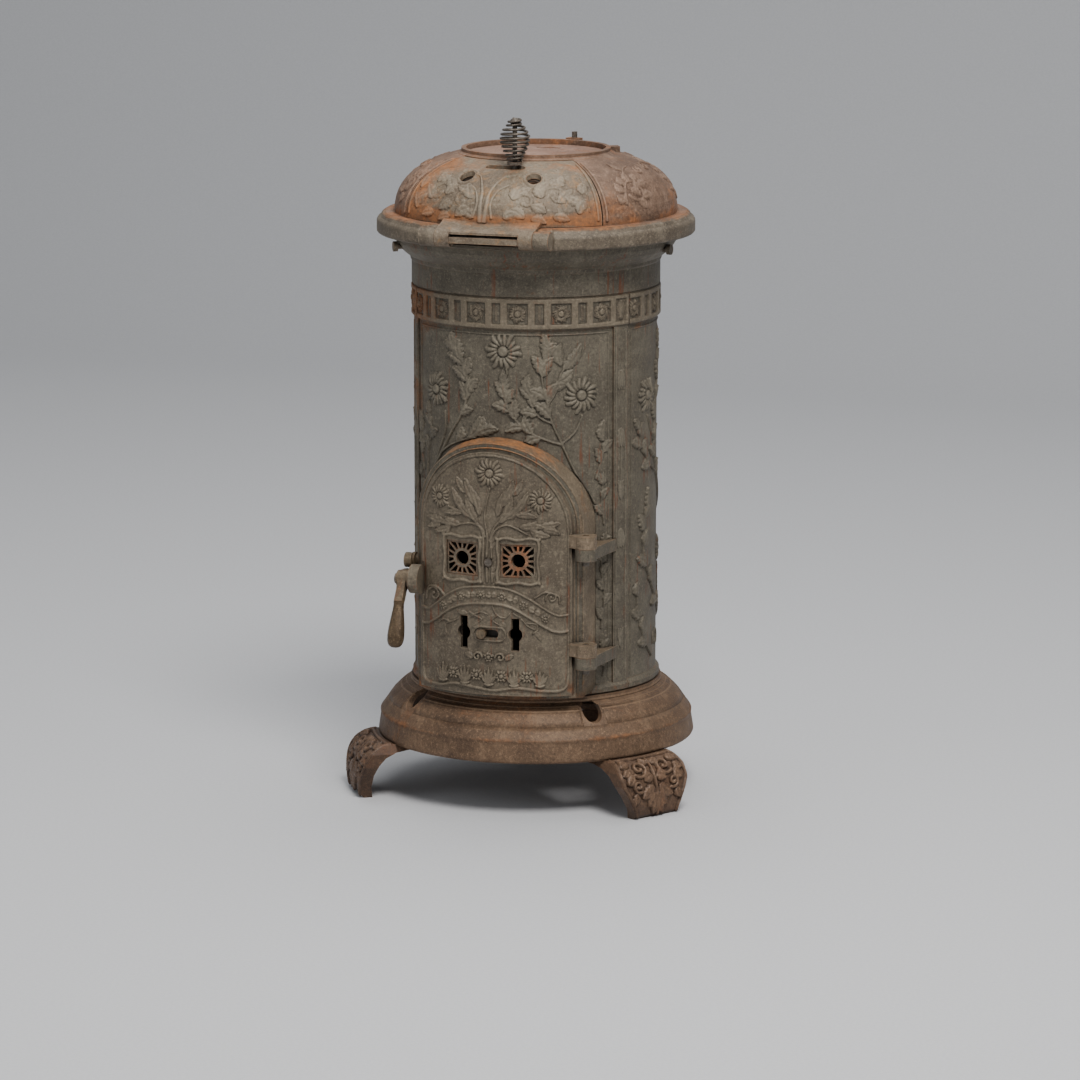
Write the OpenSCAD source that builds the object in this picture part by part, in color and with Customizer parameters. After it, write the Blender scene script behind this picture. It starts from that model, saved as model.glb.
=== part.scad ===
// Round cast-iron wood burning stove on three cabriole feet, with a domed feed top.
// The stove's axis is the Z axis, the floor is z = 0 and the door faces -Y.
// Angles are measured round the axis from the front (-Y), positive towards +X.

/* [Body] */
// Outer radius of the wall panels
body_r = 129.5; // [126:0.5:133]
// Thickness of the wall panels
wall_t = 5.5; // [4:0.5:7]
// How far the frieze and the corner strips stand proud of the panels
proud = 2; // [1:0.5:3]
// Height of the joint between base and walls
body_bottom = 123; // [120:1:126]
// Height of the joint between walls and collar
body_top = 550; // [540:1:560]
// Lower edge of the frieze band
frieze_bottom = 516; // [505:1:525]

/* [Base and feet] */
// Outer radius of the base at its lower edge
base_r = 170.5; // [166:0.5:174]
// Height of the lower edge of the base, which is the height of the feet
base_bottom = 60; // [58:1:64]
// Angle of the front feet from the front
foot_angle = 58; // [50:1:62]
// Farthest reach of a foot from the axis
foot_reach = 202; // [196:1:208]
// Distance of a foot bolt from the axis
foot_bolt_r = 145; // [140:1:150]

/* [Dome] */
// Radius of the dome where it meets the rim
dome_r = 151; // [149:0.5:152]
// Height of the dome's foot
dome_foot = 624; // [622:1:626]
// Rise of the dome above its foot
dome_rise = 71.5; // [68:0.5:74]
// Thickness of the dome and of its flap
dome_t = 5; // [4:0.5:6]
// Outer radius of the rim
rim_r = 169.6; // [168:0.2:171]
// Half the angle that the feed flap covers
flap_half = 46; // [40:1:47]
// Outer radius of the ring round the cooking lid
ring_r = 79.5; // [78:0.5:81]
// Height of the top of that ring
ring_top = 694; // [692:1:696]
// Radius of the cooking lid
lid_r = 74.1; // [72:0.1:74.2]

/* [Feed flap] */
// Distance of the flap hinge from the axis
flap_hinge_y = 165; // [163:1:167]
// Height of the flap hinge
flap_hinge_z = 616; // [615:1:617]
// Half the distance between the outer faces of the flap's two knuckles
flap_knuckle_x = 53.4; // [50:0.2:54]
// Distance of the shutter's handle from the axis
handle_r = 102; // [100:1:104]
// Angle of the shutter's handle at rest
handle_angle = 6; // [4:1:7]
// Distance of the two draught holes from the axis
draught_r = 121; // [118:1:123]
// Angle of each draught hole from the front
draught_angle = 17.5; // [16:0.5:19]

/* [Door] */
// Inner radius of the curved door
door_in = 151; // [150.8:0.1:151.4]
// Thickness of the door
door_t = 6; // [5:0.5:7]
// Half the width of the door, and the radius of its round head
door_half = 84; // [80:1:86]
// Height of the lower edge of the door
door_bottom = 130; // [128:1:132]
// Height of the centre of the round head
door_spring = 306; // [300:1:310]
// How far the frame reaches past the door's edge
frame_margin = 8; // [6:1:9]
// Half the width of the opening in the frame
opening_half = 74; // [70:1:76]
// Place of the hinge line to the side
hinge_x = 99; // [98:1:101]
// Place of the hinge line to the front
hinge_y = 131; // [130:1:132]
// Radius of the hinge pins
hinge_pin_r = 3.5; // [3:0.5:4]
// Lower faces of the two knuckles on the door
knuckle_z = [173, 289.4]; // [150:0.2:300]
// Height of one knuckle
knuckle_h = 13.4; // [12:0.2:14]

/* [Latch] */
// Place of the latch pivot to the front
latch_y = 146; // [144:1:148]
// Height of the latch pivot
latch_z = 247; // [240:1:252]

/* [Flue] */
// Height of the centre of the flue outlet
flue_z = 470; // [450:1:480]
// Inner radius of the flue collar
flue_r = 51; // [48:1:52]
// How far the flue collar reaches from the axis
flue_reach = 186; // [180:1:195]

/* [Hidden] */
$fn = 96;

inner_r = body_r - wall_t;      // inside of the wall panels
frieze_r = body_r + proud;      // face of the frieze and strips
seam_start = -53.7;             // each wall spans from here ...
strip_start = 57;               // ... past the start of its corner strip ...
strip_end = 66;                 // ... to the far edge of that strip
door_out = door_in + door_t;
frame_r = door_in - 0.4;        // face of the door frame, just behind the door
frame_half = door_half + frame_margin;
frame_bottom = door_bottom - 4;
opening_bottom = 140;
air_hole_angle = 42;            // of the two front air holes in the base
foot_angles = [-foot_angle, foot_angle, 180];
rod_angles = [-140, -70, 70, 140];
rod_ring_r = 116;
rod_r = 4;
lug_angles = [-42, 42, 90, 150, 210, 270];
lug_top = 216;
collar_top = 607;
dome_screw_angles = [-58, 85, 190];
dome_screw_z = 592;
rim_cut_x = flap_knuckle_x + 0.5;
rim_knuckle_x = 71;
flap_barrel_r = 9.8;
flap_pin_r = 3;
flap_gap = 0.4;                 // degrees left at each side of the flap
flap_foot_a = 88.9;             // curve parameter of the flap's lower edge
flap_top_a = 29;                // curve parameter of the flap's upper edge
shutter_depth = dome_t + 1.2;
shutter_t = 2.5;
slot_half = 10;                 // half the angle of the handle's slot
slot_w = 8;
window_x = 31;
window_z = 275;
window_w = 37;
window_h = 36;
slot_x = 28.5;                  // air slots in the door
slot_z = 196;
slide_t = 2.4;
slide_low = 172;
slide_high = 220;
slide_r = door_in - 0.4;
knob_angle = -2.55;
liner_screw_z = 273;
lug_x = [-91, -80];             // faces of the latch lug on the door
handle_x = -105;                // far face of the latch handle
keeper_y = 122;
keeper_z = 262.8;
keeper_r = 8;

// ---------- helpers ----------

// Puts a part drawn at the front at an angle round the axis.
module at(angle, radius = 0, height = 0) rotate([0, 0, angle]) translate([0, -radius, height]) children();

// Revolves a half section, drawn as radius and height, between two angles.
module sweep_arc(from, to) rotate([0, 0, from - 90]) rotate_extrude(angle = to - from) children();

module ring(r_in, r_out, low, high) rotate_extrude() translate([r_in, low]) square([r_out - r_in, high - low]);

module arc_block(r_in, r_out, low, high, from, to)
    sweep_arc(from, to) translate([r_in, low]) square([r_out - r_in, high - low]);

// Extrudes an outline drawn in x and z from one depth to another in front of the axis.
module to_front(near, far) translate([0, -near, 0]) rotate([90, 0, 0]) linear_extrude(far - near) children();

// Round bar along X.
module bar_x(x0, x1, y, z, r) translate([x0, y, z]) rotate([0, 90, 0]) cylinder(r = r, h = x1 - x0);

// Outline of the door family: straight sides and a round head.
module arch(half, low, head = door_spring) {
    translate([-half, low]) square([2 * half, head - low]);
    translate([0, head]) circle(r = half);
}

// Point of the dome's section at curve parameter a, from 0 at the top to 90 at the rim,
// moved inwards by depth.
function dome_dir(a) = let (n = [pow(sin(a), 1.2) / dome_r, pow(cos(a), 1.2) / dome_rise]) n / norm(n);
function dome_at(a, depth = 0) =
    [dome_r * pow(sin(a), 0.8), dome_foot + dome_rise * pow(cos(a), 0.8)] - depth * dome_dir(a);
function dome_a(r) = asin(pow(r / dome_r, 1.25));
function dome_skin(a0, a1, d0, d1, steps = 9) = [
    for (i = [0:steps]) dome_at(a0 + (a1 - a0) * i / steps, d0),
    for (i = [steps:-1:0]) dome_at(a0 + (a1 - a0) * i / steps, d1),
];

// ---------- base and feet ----------

base_skin = [
    [base_r - 0.6, base_bottom], [base_r, base_bottom + 2], [base_r - 2.8, 81], [base_r - 2, 83.4],
    [base_r - 4, 86], [base_r - 7.5, 91], [base_r - 11, 96.5], [base_r - 15.5, 102.5],
    [base_r - 21, 108], [base_r - 27, 113], [base_r - 33, 116.5], [base_r - 35.5, 118],
    [base_r - 35.5, body_bottom], [104, body_bottom], [104, 118], [base_r - 43, 118], [base_r - 42, 114],
    [base_r - 30, 108], [base_r - 20, 99], [base_r - 13.5, 91], [base_r - 10, 84], [base_r - 8, 79],
    [base_r - 6, 64], [base_r - 6, base_bottom],
];

// Air hole with a flat top, drawn in x and z.
module air_hole() {
    translate([-10.5, 109]) square([21, 5.5]);
    translate([0, 109]) circle(r = 10.5);
}

module base_flange() color("#6b5040") difference() {
    union() {
        rotate_extrude() polygon(base_skin);
        for (a = foot_angles) at(a) translate([-23, -166, base_bottom]) cube([46, 34, 10]);
    }
    for (a = foot_angles) at(a, foot_bolt_r, base_bottom - 1) cylinder(r = 4.2, h = 12);
    for (a = rod_angles) at(a, rod_ring_r, 117) cylinder(r = rod_r + 0.3, h = 7);
    for (a = [air_hole_angle, 180 - air_hole_angle]) for (s = [-1, 1]) at(s * a) to_front(128, 176) air_hole();
}

foot_side = [
    [128, 60], [169, 60], [180, 57.5], [190, 51], [197, 41], [foot_reach - 1, 27], [foot_reach, 13],
    [foot_reach - 1, 4], [foot_reach - 4, 0], [foot_reach - 14, 0], [foot_reach - 12, 12],
    [foot_reach - 13.5, 26], [184, 37], [176, 46], [165, 51.5], [150, 54], [128, 54],
];
foot_edge = [[42, 60], [46, 50], [45, 36], [38, 22], [31, 8], [29.5, 0]];
foot_face = concat(foot_edge, [for (i = [5:-1:0]) [-foot_edge[i][0], foot_edge[i][1]]]);

module foot(angle) color("#5e4636") at(angle) difference() {
    intersection() {
        rotate([90, 0, -90]) linear_extrude(100, center = true) polygon(foot_side);
        to_front(120, 210) polygon(foot_face);
    }
    translate([0, -foot_bolt_r, 50]) cylinder(r = 4.2, h = 12);
}
module foot_front_left() foot(-foot_angle);
module foot_front_right() foot(foot_angle);
module foot_rear() foot(180);

module foot_bolts() color("#4a4038") for (a = foot_angles) at(a, foot_bolt_r) {
    translate([0, 0, 48.5]) cylinder(r = 7.2, h = 5.5, $fn = 6);
    translate([0, 0, 54]) cylinder(r = 4, h = 24);
}
module foot_nuts() color("#4a4038") for (a = foot_angles) at(a, foot_bolt_r, 70) difference() {
    cylinder(r = 7.2, h = 6, $fn = 6);
    translate([0, 0, -1]) cylinder(r = 4.02, h = 8);
}

module hearth_plate() color("#4c4038") ring(0, 110, body_bottom, body_bottom + 5);

// ---------- walls ----------

wall_skin = [
    [inner_r, body_bottom], [body_r + 2, body_bottom], [body_r + 3.8, 125], [body_r + 3.8, 130],
    [body_r + 2, 132.5], [body_r, 134], [body_r, frieze_bottom - 1], [frieze_r, frieze_bottom],
    [frieze_r, body_top], [inner_r, body_top],
];

// A third of the wall with its corner strip and the tongue that backs the joint.
module wall(centre) at(centre) {
    sweep_arc(seam_start, strip_end) polygon(wall_skin);
    arc_block(body_r - 1, frieze_r, 131, frieze_bottom, strip_start, strip_end);
    arc_block(inner_r - 3, inner_r + 1, 215, body_top - 10, strip_end - 6, strip_end - 1);
    arc_block(inner_r - 3, inner_r - 0.3, 215, body_top - 10, strip_end - 6, strip_end + 6);
}

// Lugs inside a wall, which carry the grate ring.
module grate_lugs(angles) for (a = angles) at(a) translate([-6, -inner_r - 1, lug_top - 8]) cube([12, 11.5, 8]);

// One arm of the door frame with its knuckle, which carries a hinge pin.
module hinge_arm(low) translate([0, 0, low]) linear_extrude(knuckle_h - 0.8) {
    translate([hinge_x, -hinge_y]) circle(r = 11.5);
    polygon([[hinge_x - 8, -hinge_y + 9], [hinge_x + 8.5, -hinge_y + 8], [113, -68], [108, -66], [91, -91]]);
}

module front_wall() color("#514b43") difference() {
    union() {
        difference() {
            wall(0);
            to_front(90, 140) arch(frame_half - 2, frame_bottom);
        }
        intersection() {
            ring(inner_r, frame_r, 120, 420);
            to_front(80, 160) difference() {
                arch(frame_half, frame_bottom);
                arch(opening_half, opening_bottom);
            }
        }
        grate_lugs([lug_angles[0], lug_angles[1]]);
        for (z = knuckle_z) hinge_arm(z - knuckle_h + 0.4);
    }
    for (z = knuckle_z) translate([hinge_x, -hinge_y, z - 15]) cylinder(r = hinge_pin_r, h = 16);
}

module rear_wall(centre) color("#4e4840") difference() {
    union() {
        wall(centre);
        grate_lugs([centre - 30, centre + 30]);
    }
    translate([0, 0, flue_z]) rotate([-90, 0, 0]) cylinder(r = flue_r + 7, h = 150);
    flue_bolt_holes(3.1);
}
module right_rear_wall() rear_wall(120);
module left_rear_wall() rear_wall(240);

module tie_rods() color("#3d3833") for (a = rod_angles) at(a, rod_ring_r, 108) cylinder(r = rod_r, h = 458);
module tie_rod_nuts() color("#3d3833") for (a = rod_angles) for (z = [112, 555]) at(a, rod_ring_r, z) difference() {
    cylinder(r = 7.5, h = 6, $fn = 6);
    translate([0, 0, -1]) cylinder(r = rod_r + 0.02, h = 8);
}

collar_skin = [
    [106, body_top], [frieze_r, body_top], [frieze_r + 1.4, 551.5], [frieze_r + 1.4, 575], [frieze_r + 2.6, 576.5],
    [frieze_r + 3.2, 580], [frieze_r + 9, 584.3], [frieze_r + 14.5, 589.5], [frieze_r + 18.5, 596], [frieze_r + 20, 602],
    [frieze_r + 26, 604], [frieze_r + 26, collar_top], [147, collar_top], [146.5, 600], [144, 592], [138, 587],
    [130, 581], [127, 574], [126, 567], [126, 555], [106, 555],
];
module top_collar() color("#4f4a42") difference() {
    rotate_extrude() polygon(collar_skin);
    for (a = rod_angles) at(a, rod_ring_r, body_top - 1) cylinder(r = rod_r + 0.3, h = 7);
    for (a = dome_screw_angles) at(a, 0, dome_screw_z) rotate([90, 0, 0]) cylinder(r = 3.1, h = 160);
}

// ---------- dome, feed flap and lid ----------

rim_skin = [
    [147.5, collar_top], [158.6, collar_top], [158.6, 605], [rim_r - 1, 605], [rim_r, 606.5], [rim_r, 617.5],
    [rim_r - 1.6, 620], [rim_r - 4, 621], [rim_r - 5.5, 624.5], [rim_r - 9, 626.5], [147.5, 626.5],
];
lid_seat = [
    [66, 679], [66, 675], [84, 675], [87, 681.5], [dome_at(flap_top_a)[0] - 1.2, dome_at(flap_top_a)[1] + 0.6],
    [ring_r, dome_at(flap_top_a)[1] + 2.5], [ring_r, ring_top], [lid_r + 0.5, ring_top], [lid_r + 0.5, 683], [66, 683],
];

module dome_shell() color("#8c6f5c") difference() {
    union() {
        sweep_arc(flap_half + 0.2, 360 - flap_half - 0.2)
            polygon(dome_skin(dome_a(80), 90, 0, dome_t, 12));
        difference() {
            union() {
                rotate_extrude() polygon(rim_skin);
                for (s = [0, 1]) mirror([s, 0, 0])
                    bar_x(rim_cut_x, rim_knuckle_x, -flap_hinge_y, flap_hinge_z, flap_barrel_r);
            }
            translate([-rim_cut_x, -190, 600]) cube([2 * rim_cut_x, 46, 40]);
        }
        difference() {
            rotate_extrude() polygon(lid_seat);
            arc_block(83.2, 90, 681, 700, -flap_half, flap_half);
            arc_block(81.6, 90, 670, 681.1, -flap_half, flap_half);
        }
        at(169, 84, 684) translate([-8, -4, 0]) cube([16, 9, 11.5]);
        at(117, 84.5, 680) translate([-7, -5, 0]) cube([14, 10, 13.5]);
    }
    bar_x(-rim_knuckle_x + 1.5, rim_knuckle_x - 1.5, -flap_hinge_y, flap_hinge_z, flap_pin_r + 0.02);
    at(169, 84.5, 686) cylinder(r = 2.52, h = 12);
}

module dome_screws() color("#5a5046") for (a = dome_screw_angles) at(a, 0, dome_screw_z) rotate([90, 0, 0]) {
    translate([0, 0, 138]) cylinder(r = 3, h = 14);
    translate([0, 0, 151.3]) cylinder(r = 5.5, h = 4.5);
}

// Upright slot or shaft at the handle's place on the dome.
module at_handle(angle, height) at(angle, handle_r, height) children();

module feed_flap() color("#86705c") difference() {
    union() {
        sweep_arc(-flap_half + flap_gap, flap_half - flap_gap)
            polygon(dome_skin(flap_top_a + 0.2, flap_foot_a, 0, dome_t, 12));
        translate([-flap_knuckle_x, 0, 0]) rotate([90, 0, 90]) linear_extrude(2 * flap_knuckle_x) polygon([
            [-138, 634], [-145, 632.3], [-151, 629.8], [-163, 626.2], [-170, 624.2], [-171.5, 622.6], [-171.5, 620.2],
            [-158, 620.2], [-150, 627], [-138, 627],
        ]);
        translate([-39, -172.6, 610.8]) cube([78, 4, 6.4]);
        for (s = [0, 1]) mirror([s, 0, 0]) bar_x(38, flap_knuckle_x, -flap_hinge_y, flap_hinge_z, flap_barrel_r);
    }
    bar_x(-60, 60, -flap_hinge_y, flap_hinge_z, flap_pin_r + 0.06);
    for (s = [-1, 1]) at(s * draught_angle, draught_r, 640) cylinder(r = 8, h = 60);
    arc_block(handle_r - slot_w / 2, handle_r + slot_w / 2, 650, 710, -slot_half, slot_half);
    for (s = [-1, 1]) at_handle(s * slot_half, 650) cylinder(r = slot_w / 2, h = 60);
}

module flap_hinge_pin() color("#5f574c")
    bar_x(-rim_knuckle_x + 1.5, rim_knuckle_x - 1.5, -flap_hinge_y, flap_hinge_z, flap_pin_r);

module flap_shutter() color("#5a5750") difference() {
    sweep_arc(-27, 29) polygon(dome_skin(31.5, 59.5, shutter_depth, shutter_depth + shutter_t));
    for (s = [-1, 1]) at(s * draught_angle - 1.2, draught_r, 640) cylinder(r = 7.5, h = 60);
    at_handle(handle_angle, 650) cylinder(r = 2.52, h = 60);
}

// Two hooked strips under the flap, which the shutter slides between.
module shutter_keepers() color("#4f4a42") {
    sweep_arc(-10, 10) polygon(dome_skin(60.5, 63, dome_t - 0.4, 12, 2));
    sweep_arc(-10, 10) polygon(dome_skin(57.8, 60.6, 9.4, 12, 2));
    sweep_arc(-10, 10) polygon(dome_skin(29.6, 30.8, dome_t - 0.4, 12, 2));
    sweep_arc(-10, 10) polygon(dome_skin(30.7, 32.6, 9.4, 12, 2));
}

stem_low = dome_at(dome_a(handle_r + 3))[1] - 17;
stem_seat = 686.6;
module handle_stem() color("#645a4c") at_handle(handle_angle, 0) {
    translate([0, 0, stem_low]) cylinder(r = 2.5, h = 734 - stem_low);
    translate([0, 0, stem_seat]) cylinder(r = 8, h = 3);
}
module stem_nut() color("#4f4a42") at_handle(handle_angle, stem_low + 1) difference() {
    cylinder(r = 5, h = 4, $fn = 6);
    translate([0, 0, -1]) cylinder(r = 2.52, h = 6);
}

// Egg-shaped coil of wire round the stem, swept along its helix.
coil_turns = 8.5;
coil_steps = 136;
wire_r = 1.2;
coil_low = stem_seat + 3 + wire_r + 0.1;
coil_high = 736;
function coil_r(t) = 6.5 + 7.3 * pow(sin(180 * pow(t, 0.85)), 0.8);
function coil_point(i) = let (t = i / coil_steps, a = 360 * coil_turns * t, r = coil_r(t))
    [r * cos(a), r * sin(a), coil_low + (coil_high - wire_r - coil_low) * t];
coil_sides = 8;
module coil_handle() color("#645b52") at_handle(handle_angle, 0) polyhedron(
    points = [for (i = [0:coil_steps]) for (k = [0:coil_sides - 1])
        let (p = coil_point(i), a = 360 * coil_turns * i / coil_steps, b = 360 * k / coil_sides)
        p + wire_r * [cos(b) * cos(a), cos(b) * sin(a), sin(b)]],
    faces = concat(
        [[for (k = [0:coil_sides - 1]) k]],
        [for (i = [0:coil_steps - 1]) for (k = [0:coil_sides - 1]) let (n = (k + 1) % coil_sides)
            [i * coil_sides + k, (i + 1) * coil_sides + k, (i + 1) * coil_sides + n, i * coil_sides + n]],
        [[for (k = [coil_sides - 1:-1:0]) coil_steps * coil_sides + k]]
    )
);

module cooking_lid() color("#9b7c6c") difference() {
    union() {
        ring(0, lid_r, 683.1, 688.5);
        ring(0, 65, 679.5, 683.1);
    }
    translate([-14, 38, 686]) cube([28, 9, 5]);
}
module swing_pivot_pin() color("#6d6154") at(169, 84.5) {
    translate([0, 0, 686]) cylinder(r = 2.5, h = 9.5);
    translate([0, 0, 695.5]) cylinder(r = 3, h = 6.5);
}

// ---------- door ----------

// Air slot with a bulge half way up, drawn in x and z.
module air_slot() {
    translate([-4.25, slot_z - 17.5]) square([8.5, 35]);
    translate([0, slot_z]) circle(r = 7.5);
}
module window(grow = 0) translate([-window_w / 2 - grow, window_z - window_h / 2 - grow])
    square([window_w + 2 * grow, window_h + 2 * grow]);

module door() color("#5c5750") difference() {
    union() {
        intersection() {
            ring(door_in, door_out, 120, 400);
            to_front(100, 170) arch(door_half, door_bottom);
        }
        for (z = knuckle_z) translate([0, 0, z]) linear_extrude(knuckle_h) {
            translate([hinge_x, -hinge_y]) circle(r = 11.5);
            polygon([[80, -128.3], [hinge_x, -122], [hinge_x, -hinge_y - 11], [80, -134.6]]);
        }
        difference() {
            bar_x(lug_x[0], lug_x[1], -143, latch_z, 15.5);
            ring(0, door_in, 220, 280);
        }
    }
    for (z = knuckle_z) translate([hinge_x, -hinge_y, z - 1]) cylinder(r = hinge_pin_r + 0.05, h = knuckle_h + 2);
    for (s = [-1, 1]) {
        to_front(100, 170) translate([s * window_x, 0]) window();
        to_front(100, 170) translate([s * slot_x, 0]) air_slot();
    }
    to_front(100, 170) {
        translate([-6, slot_z - 4.5]) square([12, 9]);
        for (s = [-1, 1]) translate([s * 6, slot_z]) circle(r = 4.5);
    }
    translate([0, -140, liner_screw_z]) rotate([90, 0, 0]) cylinder(r = 3, h = 30);
    bar_x(-95, -82, -latch_y, latch_z, 3.52);
}

// Square grate with rays round an open ring, drawn in x and z.
module sunburst() {
    difference() {
        window(-0.2);
        window(-2.2);
    }
    intersection() {
        window(-0.4);
        translate([0, window_z]) for (i = [0:15]) rotate(i * 22.5) translate([9.4, -0.95]) square([20, 1.9]);
    }
    translate([0, window_z]) difference() {
        circle(r = 10.5);
        circle(r = 7.5);
    }
}
module sunburst_grates() color("#6a5d4e") for (s = [-1, 1]) {
    intersection() {
        ring(door_in - 1.4, door_out - 1.4, 240, 310);
        to_front(120, 170) translate([s * window_x, 0]) sunburst();
    }
    intersection() {
        ring(door_in - 3.2, door_in - 0.1, 240, 310);
        to_front(120, 170) translate([s * window_x, 0]) difference() {
            window(2);
            window(-2.2);
        }
    }
}

// Shallow heat shield behind the upper half of the door.
module door_liner() color("#4a433b") difference() {
    union() {
        intersection() {
            ring(door_in - 12, door_in - 9, 220, 390);
            to_front(100, 170) arch(64, 226);
        }
        intersection() {
            ring(door_in - 12, door_in - 0.1, 220, 390);
            to_front(100, 170) difference() {
                arch(64, 226);
                arch(61, 229);
            }
        }
    }
    to_front(100, 170) for (s = [-1, 1]) translate([s * window_x - 9, window_z - 16]) square([18, 32]);
    translate([0, -120, liner_screw_z]) rotate([90, 0, 0]) cylinder(r = 3, h = 30);
}
module liner_screw() color("#8d8d88") translate([0, 0, liner_screw_z]) rotate([90, 0, 0]) {
    translate([0, 0, door_out]) cylinder(r = 4.2, h = 2.4);
    translate([0, 0, 136]) cylinder(r = 2.9, h = door_out - 136);
    translate([0, 0, 134]) cylinder(r = 5.5, h = 4.8, $fn = 6);
}

module draft_slide() color("#4d473f") difference() {
    arc_block(slide_r - slide_t, slide_r, slide_low, slide_high, -17, 17);
    for (s = [-1, 1]) at(s * asin(slot_x / door_out)) to_front(120, 170)
        translate([-6.2, slot_z - 18.5]) square([12.4, 37]);
    at(knob_angle, 0, slot_z) rotate([90, 0, 0]) cylinder(r = 3.02, h = 160);
}
module draft_knob() color("#6b5f50") at(knob_angle, 0, slot_z) rotate([90, 0, 0]) {
    translate([0, 0, slide_r - slide_t - 2.3]) cylinder(r = 5, h = 2.2);
    translate([0, 0, slide_r - slide_t - 1]) cylinder(r = 3, h = 11);
    translate([0, 0, door_out + 1.2]) cylinder(r = 4.8, h = 4.6);
}
module slide_guides() color("#4d473f") {
    arc_block(door_in - 5.4, door_in, slide_high + 0.4, slide_high + 3.4, -23, 23);
    arc_block(door_in - 5.4, door_in - 3.2, slide_high - 3, slide_high + 0.5, -23, 23);
    arc_block(door_in - 5.4, door_in, slide_low - 3.4, slide_low - 0.4, -23, 23);
    arc_block(door_in - 5.4, door_in - 3.2, slide_low - 0.5, slide_low + 3, -23, 23);
}

module door_hinge_pins() color("#77736a") for (z = knuckle_z) translate([hinge_x, -hinge_y, z - 19])
    cylinder(r = hinge_pin_r, h = 19 + knuckle_h - 1);

// ---------- latch ----------

// Lever on the latch pin: hub, tongue under the keeper and arm down to the grip.
module latch_handle() color("#5e5040") difference() {
    union() {
        bar_x(handle_x, lug_x[0] - 0.4, -latch_y, latch_z, 9);
        translate([handle_x, 0, 0]) rotate([90, 0, 90]) linear_extrude(10) polygon([
            [-latch_y, latch_z - 8], [-keeper_y - 2, latch_z - 3], [-keeper_y + 3, latch_z + 2],
            [-keeper_y + 2, latch_z + 6], [-keeper_y - 4, keeper_z - keeper_r - 0.8], [-latch_y, latch_z + 8.5],
        ]);
        translate([handle_x + 2, 0, 0]) rotate([90, 0, 90]) linear_extrude(9) polygon([
            [-latch_y - 8.5, latch_z + 2], [-latch_y - 13, latch_z - 9], [-latch_y - 20.5, latch_z - 20],
            [-latch_y - 11, latch_z - 22.5], [-latch_y - 4, latch_z - 12], [-latch_y + 5, latch_z - 7],
        ]);
    }
    bar_x(handle_x - 1, lug_x[0], -latch_y, latch_z, 3.56);
}

// Faceted teardrop on the lever's arm, drawn as a stack of joined rings.
grip_rings = [[0, 4.5, 6.2], [9, 5.5, 8], [28, 6.8, 10], [42, 7, 10.2], [50, 4.8, 7]];
module latch_grip() color("#7c6c52")
    translate([handle_x + 6.5, -latch_y - 15.8, latch_z - 21.6]) rotate([-17, 0, 0])
        for (i = [0:3]) hull() for (k = [i, i + 1]) let (g = grip_rings[k])
            translate([0, 0, -g[0] - 0.01]) linear_extrude(0.1)
                polygon([for (c = [0:7]) [g[2] * cos(45 * c + 22.5), g[1] * sin(45 * c + 22.5)]]);

module latch_pin() color("#6e665a") {
    bar_x(handle_x - 1, lug_x[1] - 2, -latch_y, latch_z, 3.5);
    bar_x(handle_x - 3, handle_x - 0.4, -latch_y, latch_z, 5.5);
}
// Stud with a round head on the side of the door frame.
module latch_keeper() color("#5c5348") difference() {
    union() {
        bar_x(-105, -97, -keeper_y, keeper_z, keeper_r);
        bar_x(-98, -frame_half + 3, -keeper_y + 8, keeper_z, keeper_r - 1.5);
        bar_x(-98, -95, -keeper_y + 4, keeper_z, keeper_r);
    }
    intersection() {
        ring(80, frame_r + 0.01, 240, 290);
        translate([-frame_half, -140, 240]) cube([30, 60, 50]);
    }
}

// ---------- inside ----------

module grate_ring() color("#4a423a") difference() {
    union() {
        ring(86, 110.8, lug_top, lug_top + 7);
        for (a = lug_angles) at(a) translate([-5.5, -120.5, lug_top]) cube([11, 12, 7]);
    }
    ring(80, 92, lug_top + 3, lug_top + 9);
}
module fire_grate() color("#574839") difference() {
    ring(0, 91.6, lug_top + 3, lug_top + 9);
    for (i = [-4:4]) let (half = sqrt(80 * 80 - 17 * 17 * i * i))
        translate([17 * i - 4, -half, lug_top]) cube([8, 2 * half, 12]);
}
module fire_bricks() color("#a58a6a") for (i = [0:4])
    arc_block(96, 110.5, lug_top + 7, 400, 50.2 + 52 * i, 50.2 + 52 * i + 51.6);

module pan_outline(grow = 0) intersection() {
    circle(r = 98 - grow);
    square([2 * (66 - grow), 240], center = true);
}
module ash_pan() color("#5b5148") difference() {
    translate([0, 0, body_bottom + 5]) linear_extrude(52) pan_outline();
    translate([0, 0, body_bottom + 8]) linear_extrude(60) pan_outline(2.5);
}
// Round knob riveted to the front of the pan.
module ash_pan_handle() color("#6b6258") translate([0, 0, 160]) rotate([90, 0, 0]) {
    translate([0, 0, 94]) cylinder(r = 4, h = 10);
    translate([0, 0, 103.5]) cylinder(r = 10, h = 4.5);
}

module flue_bolt_holes(r) for (s = [-1, 1]) for (t = [-1, 1])
    translate([s * 33, 90, flue_z + t * 57]) rotate([-90, 0, 0]) cylinder(r = r, h = 60);

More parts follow.
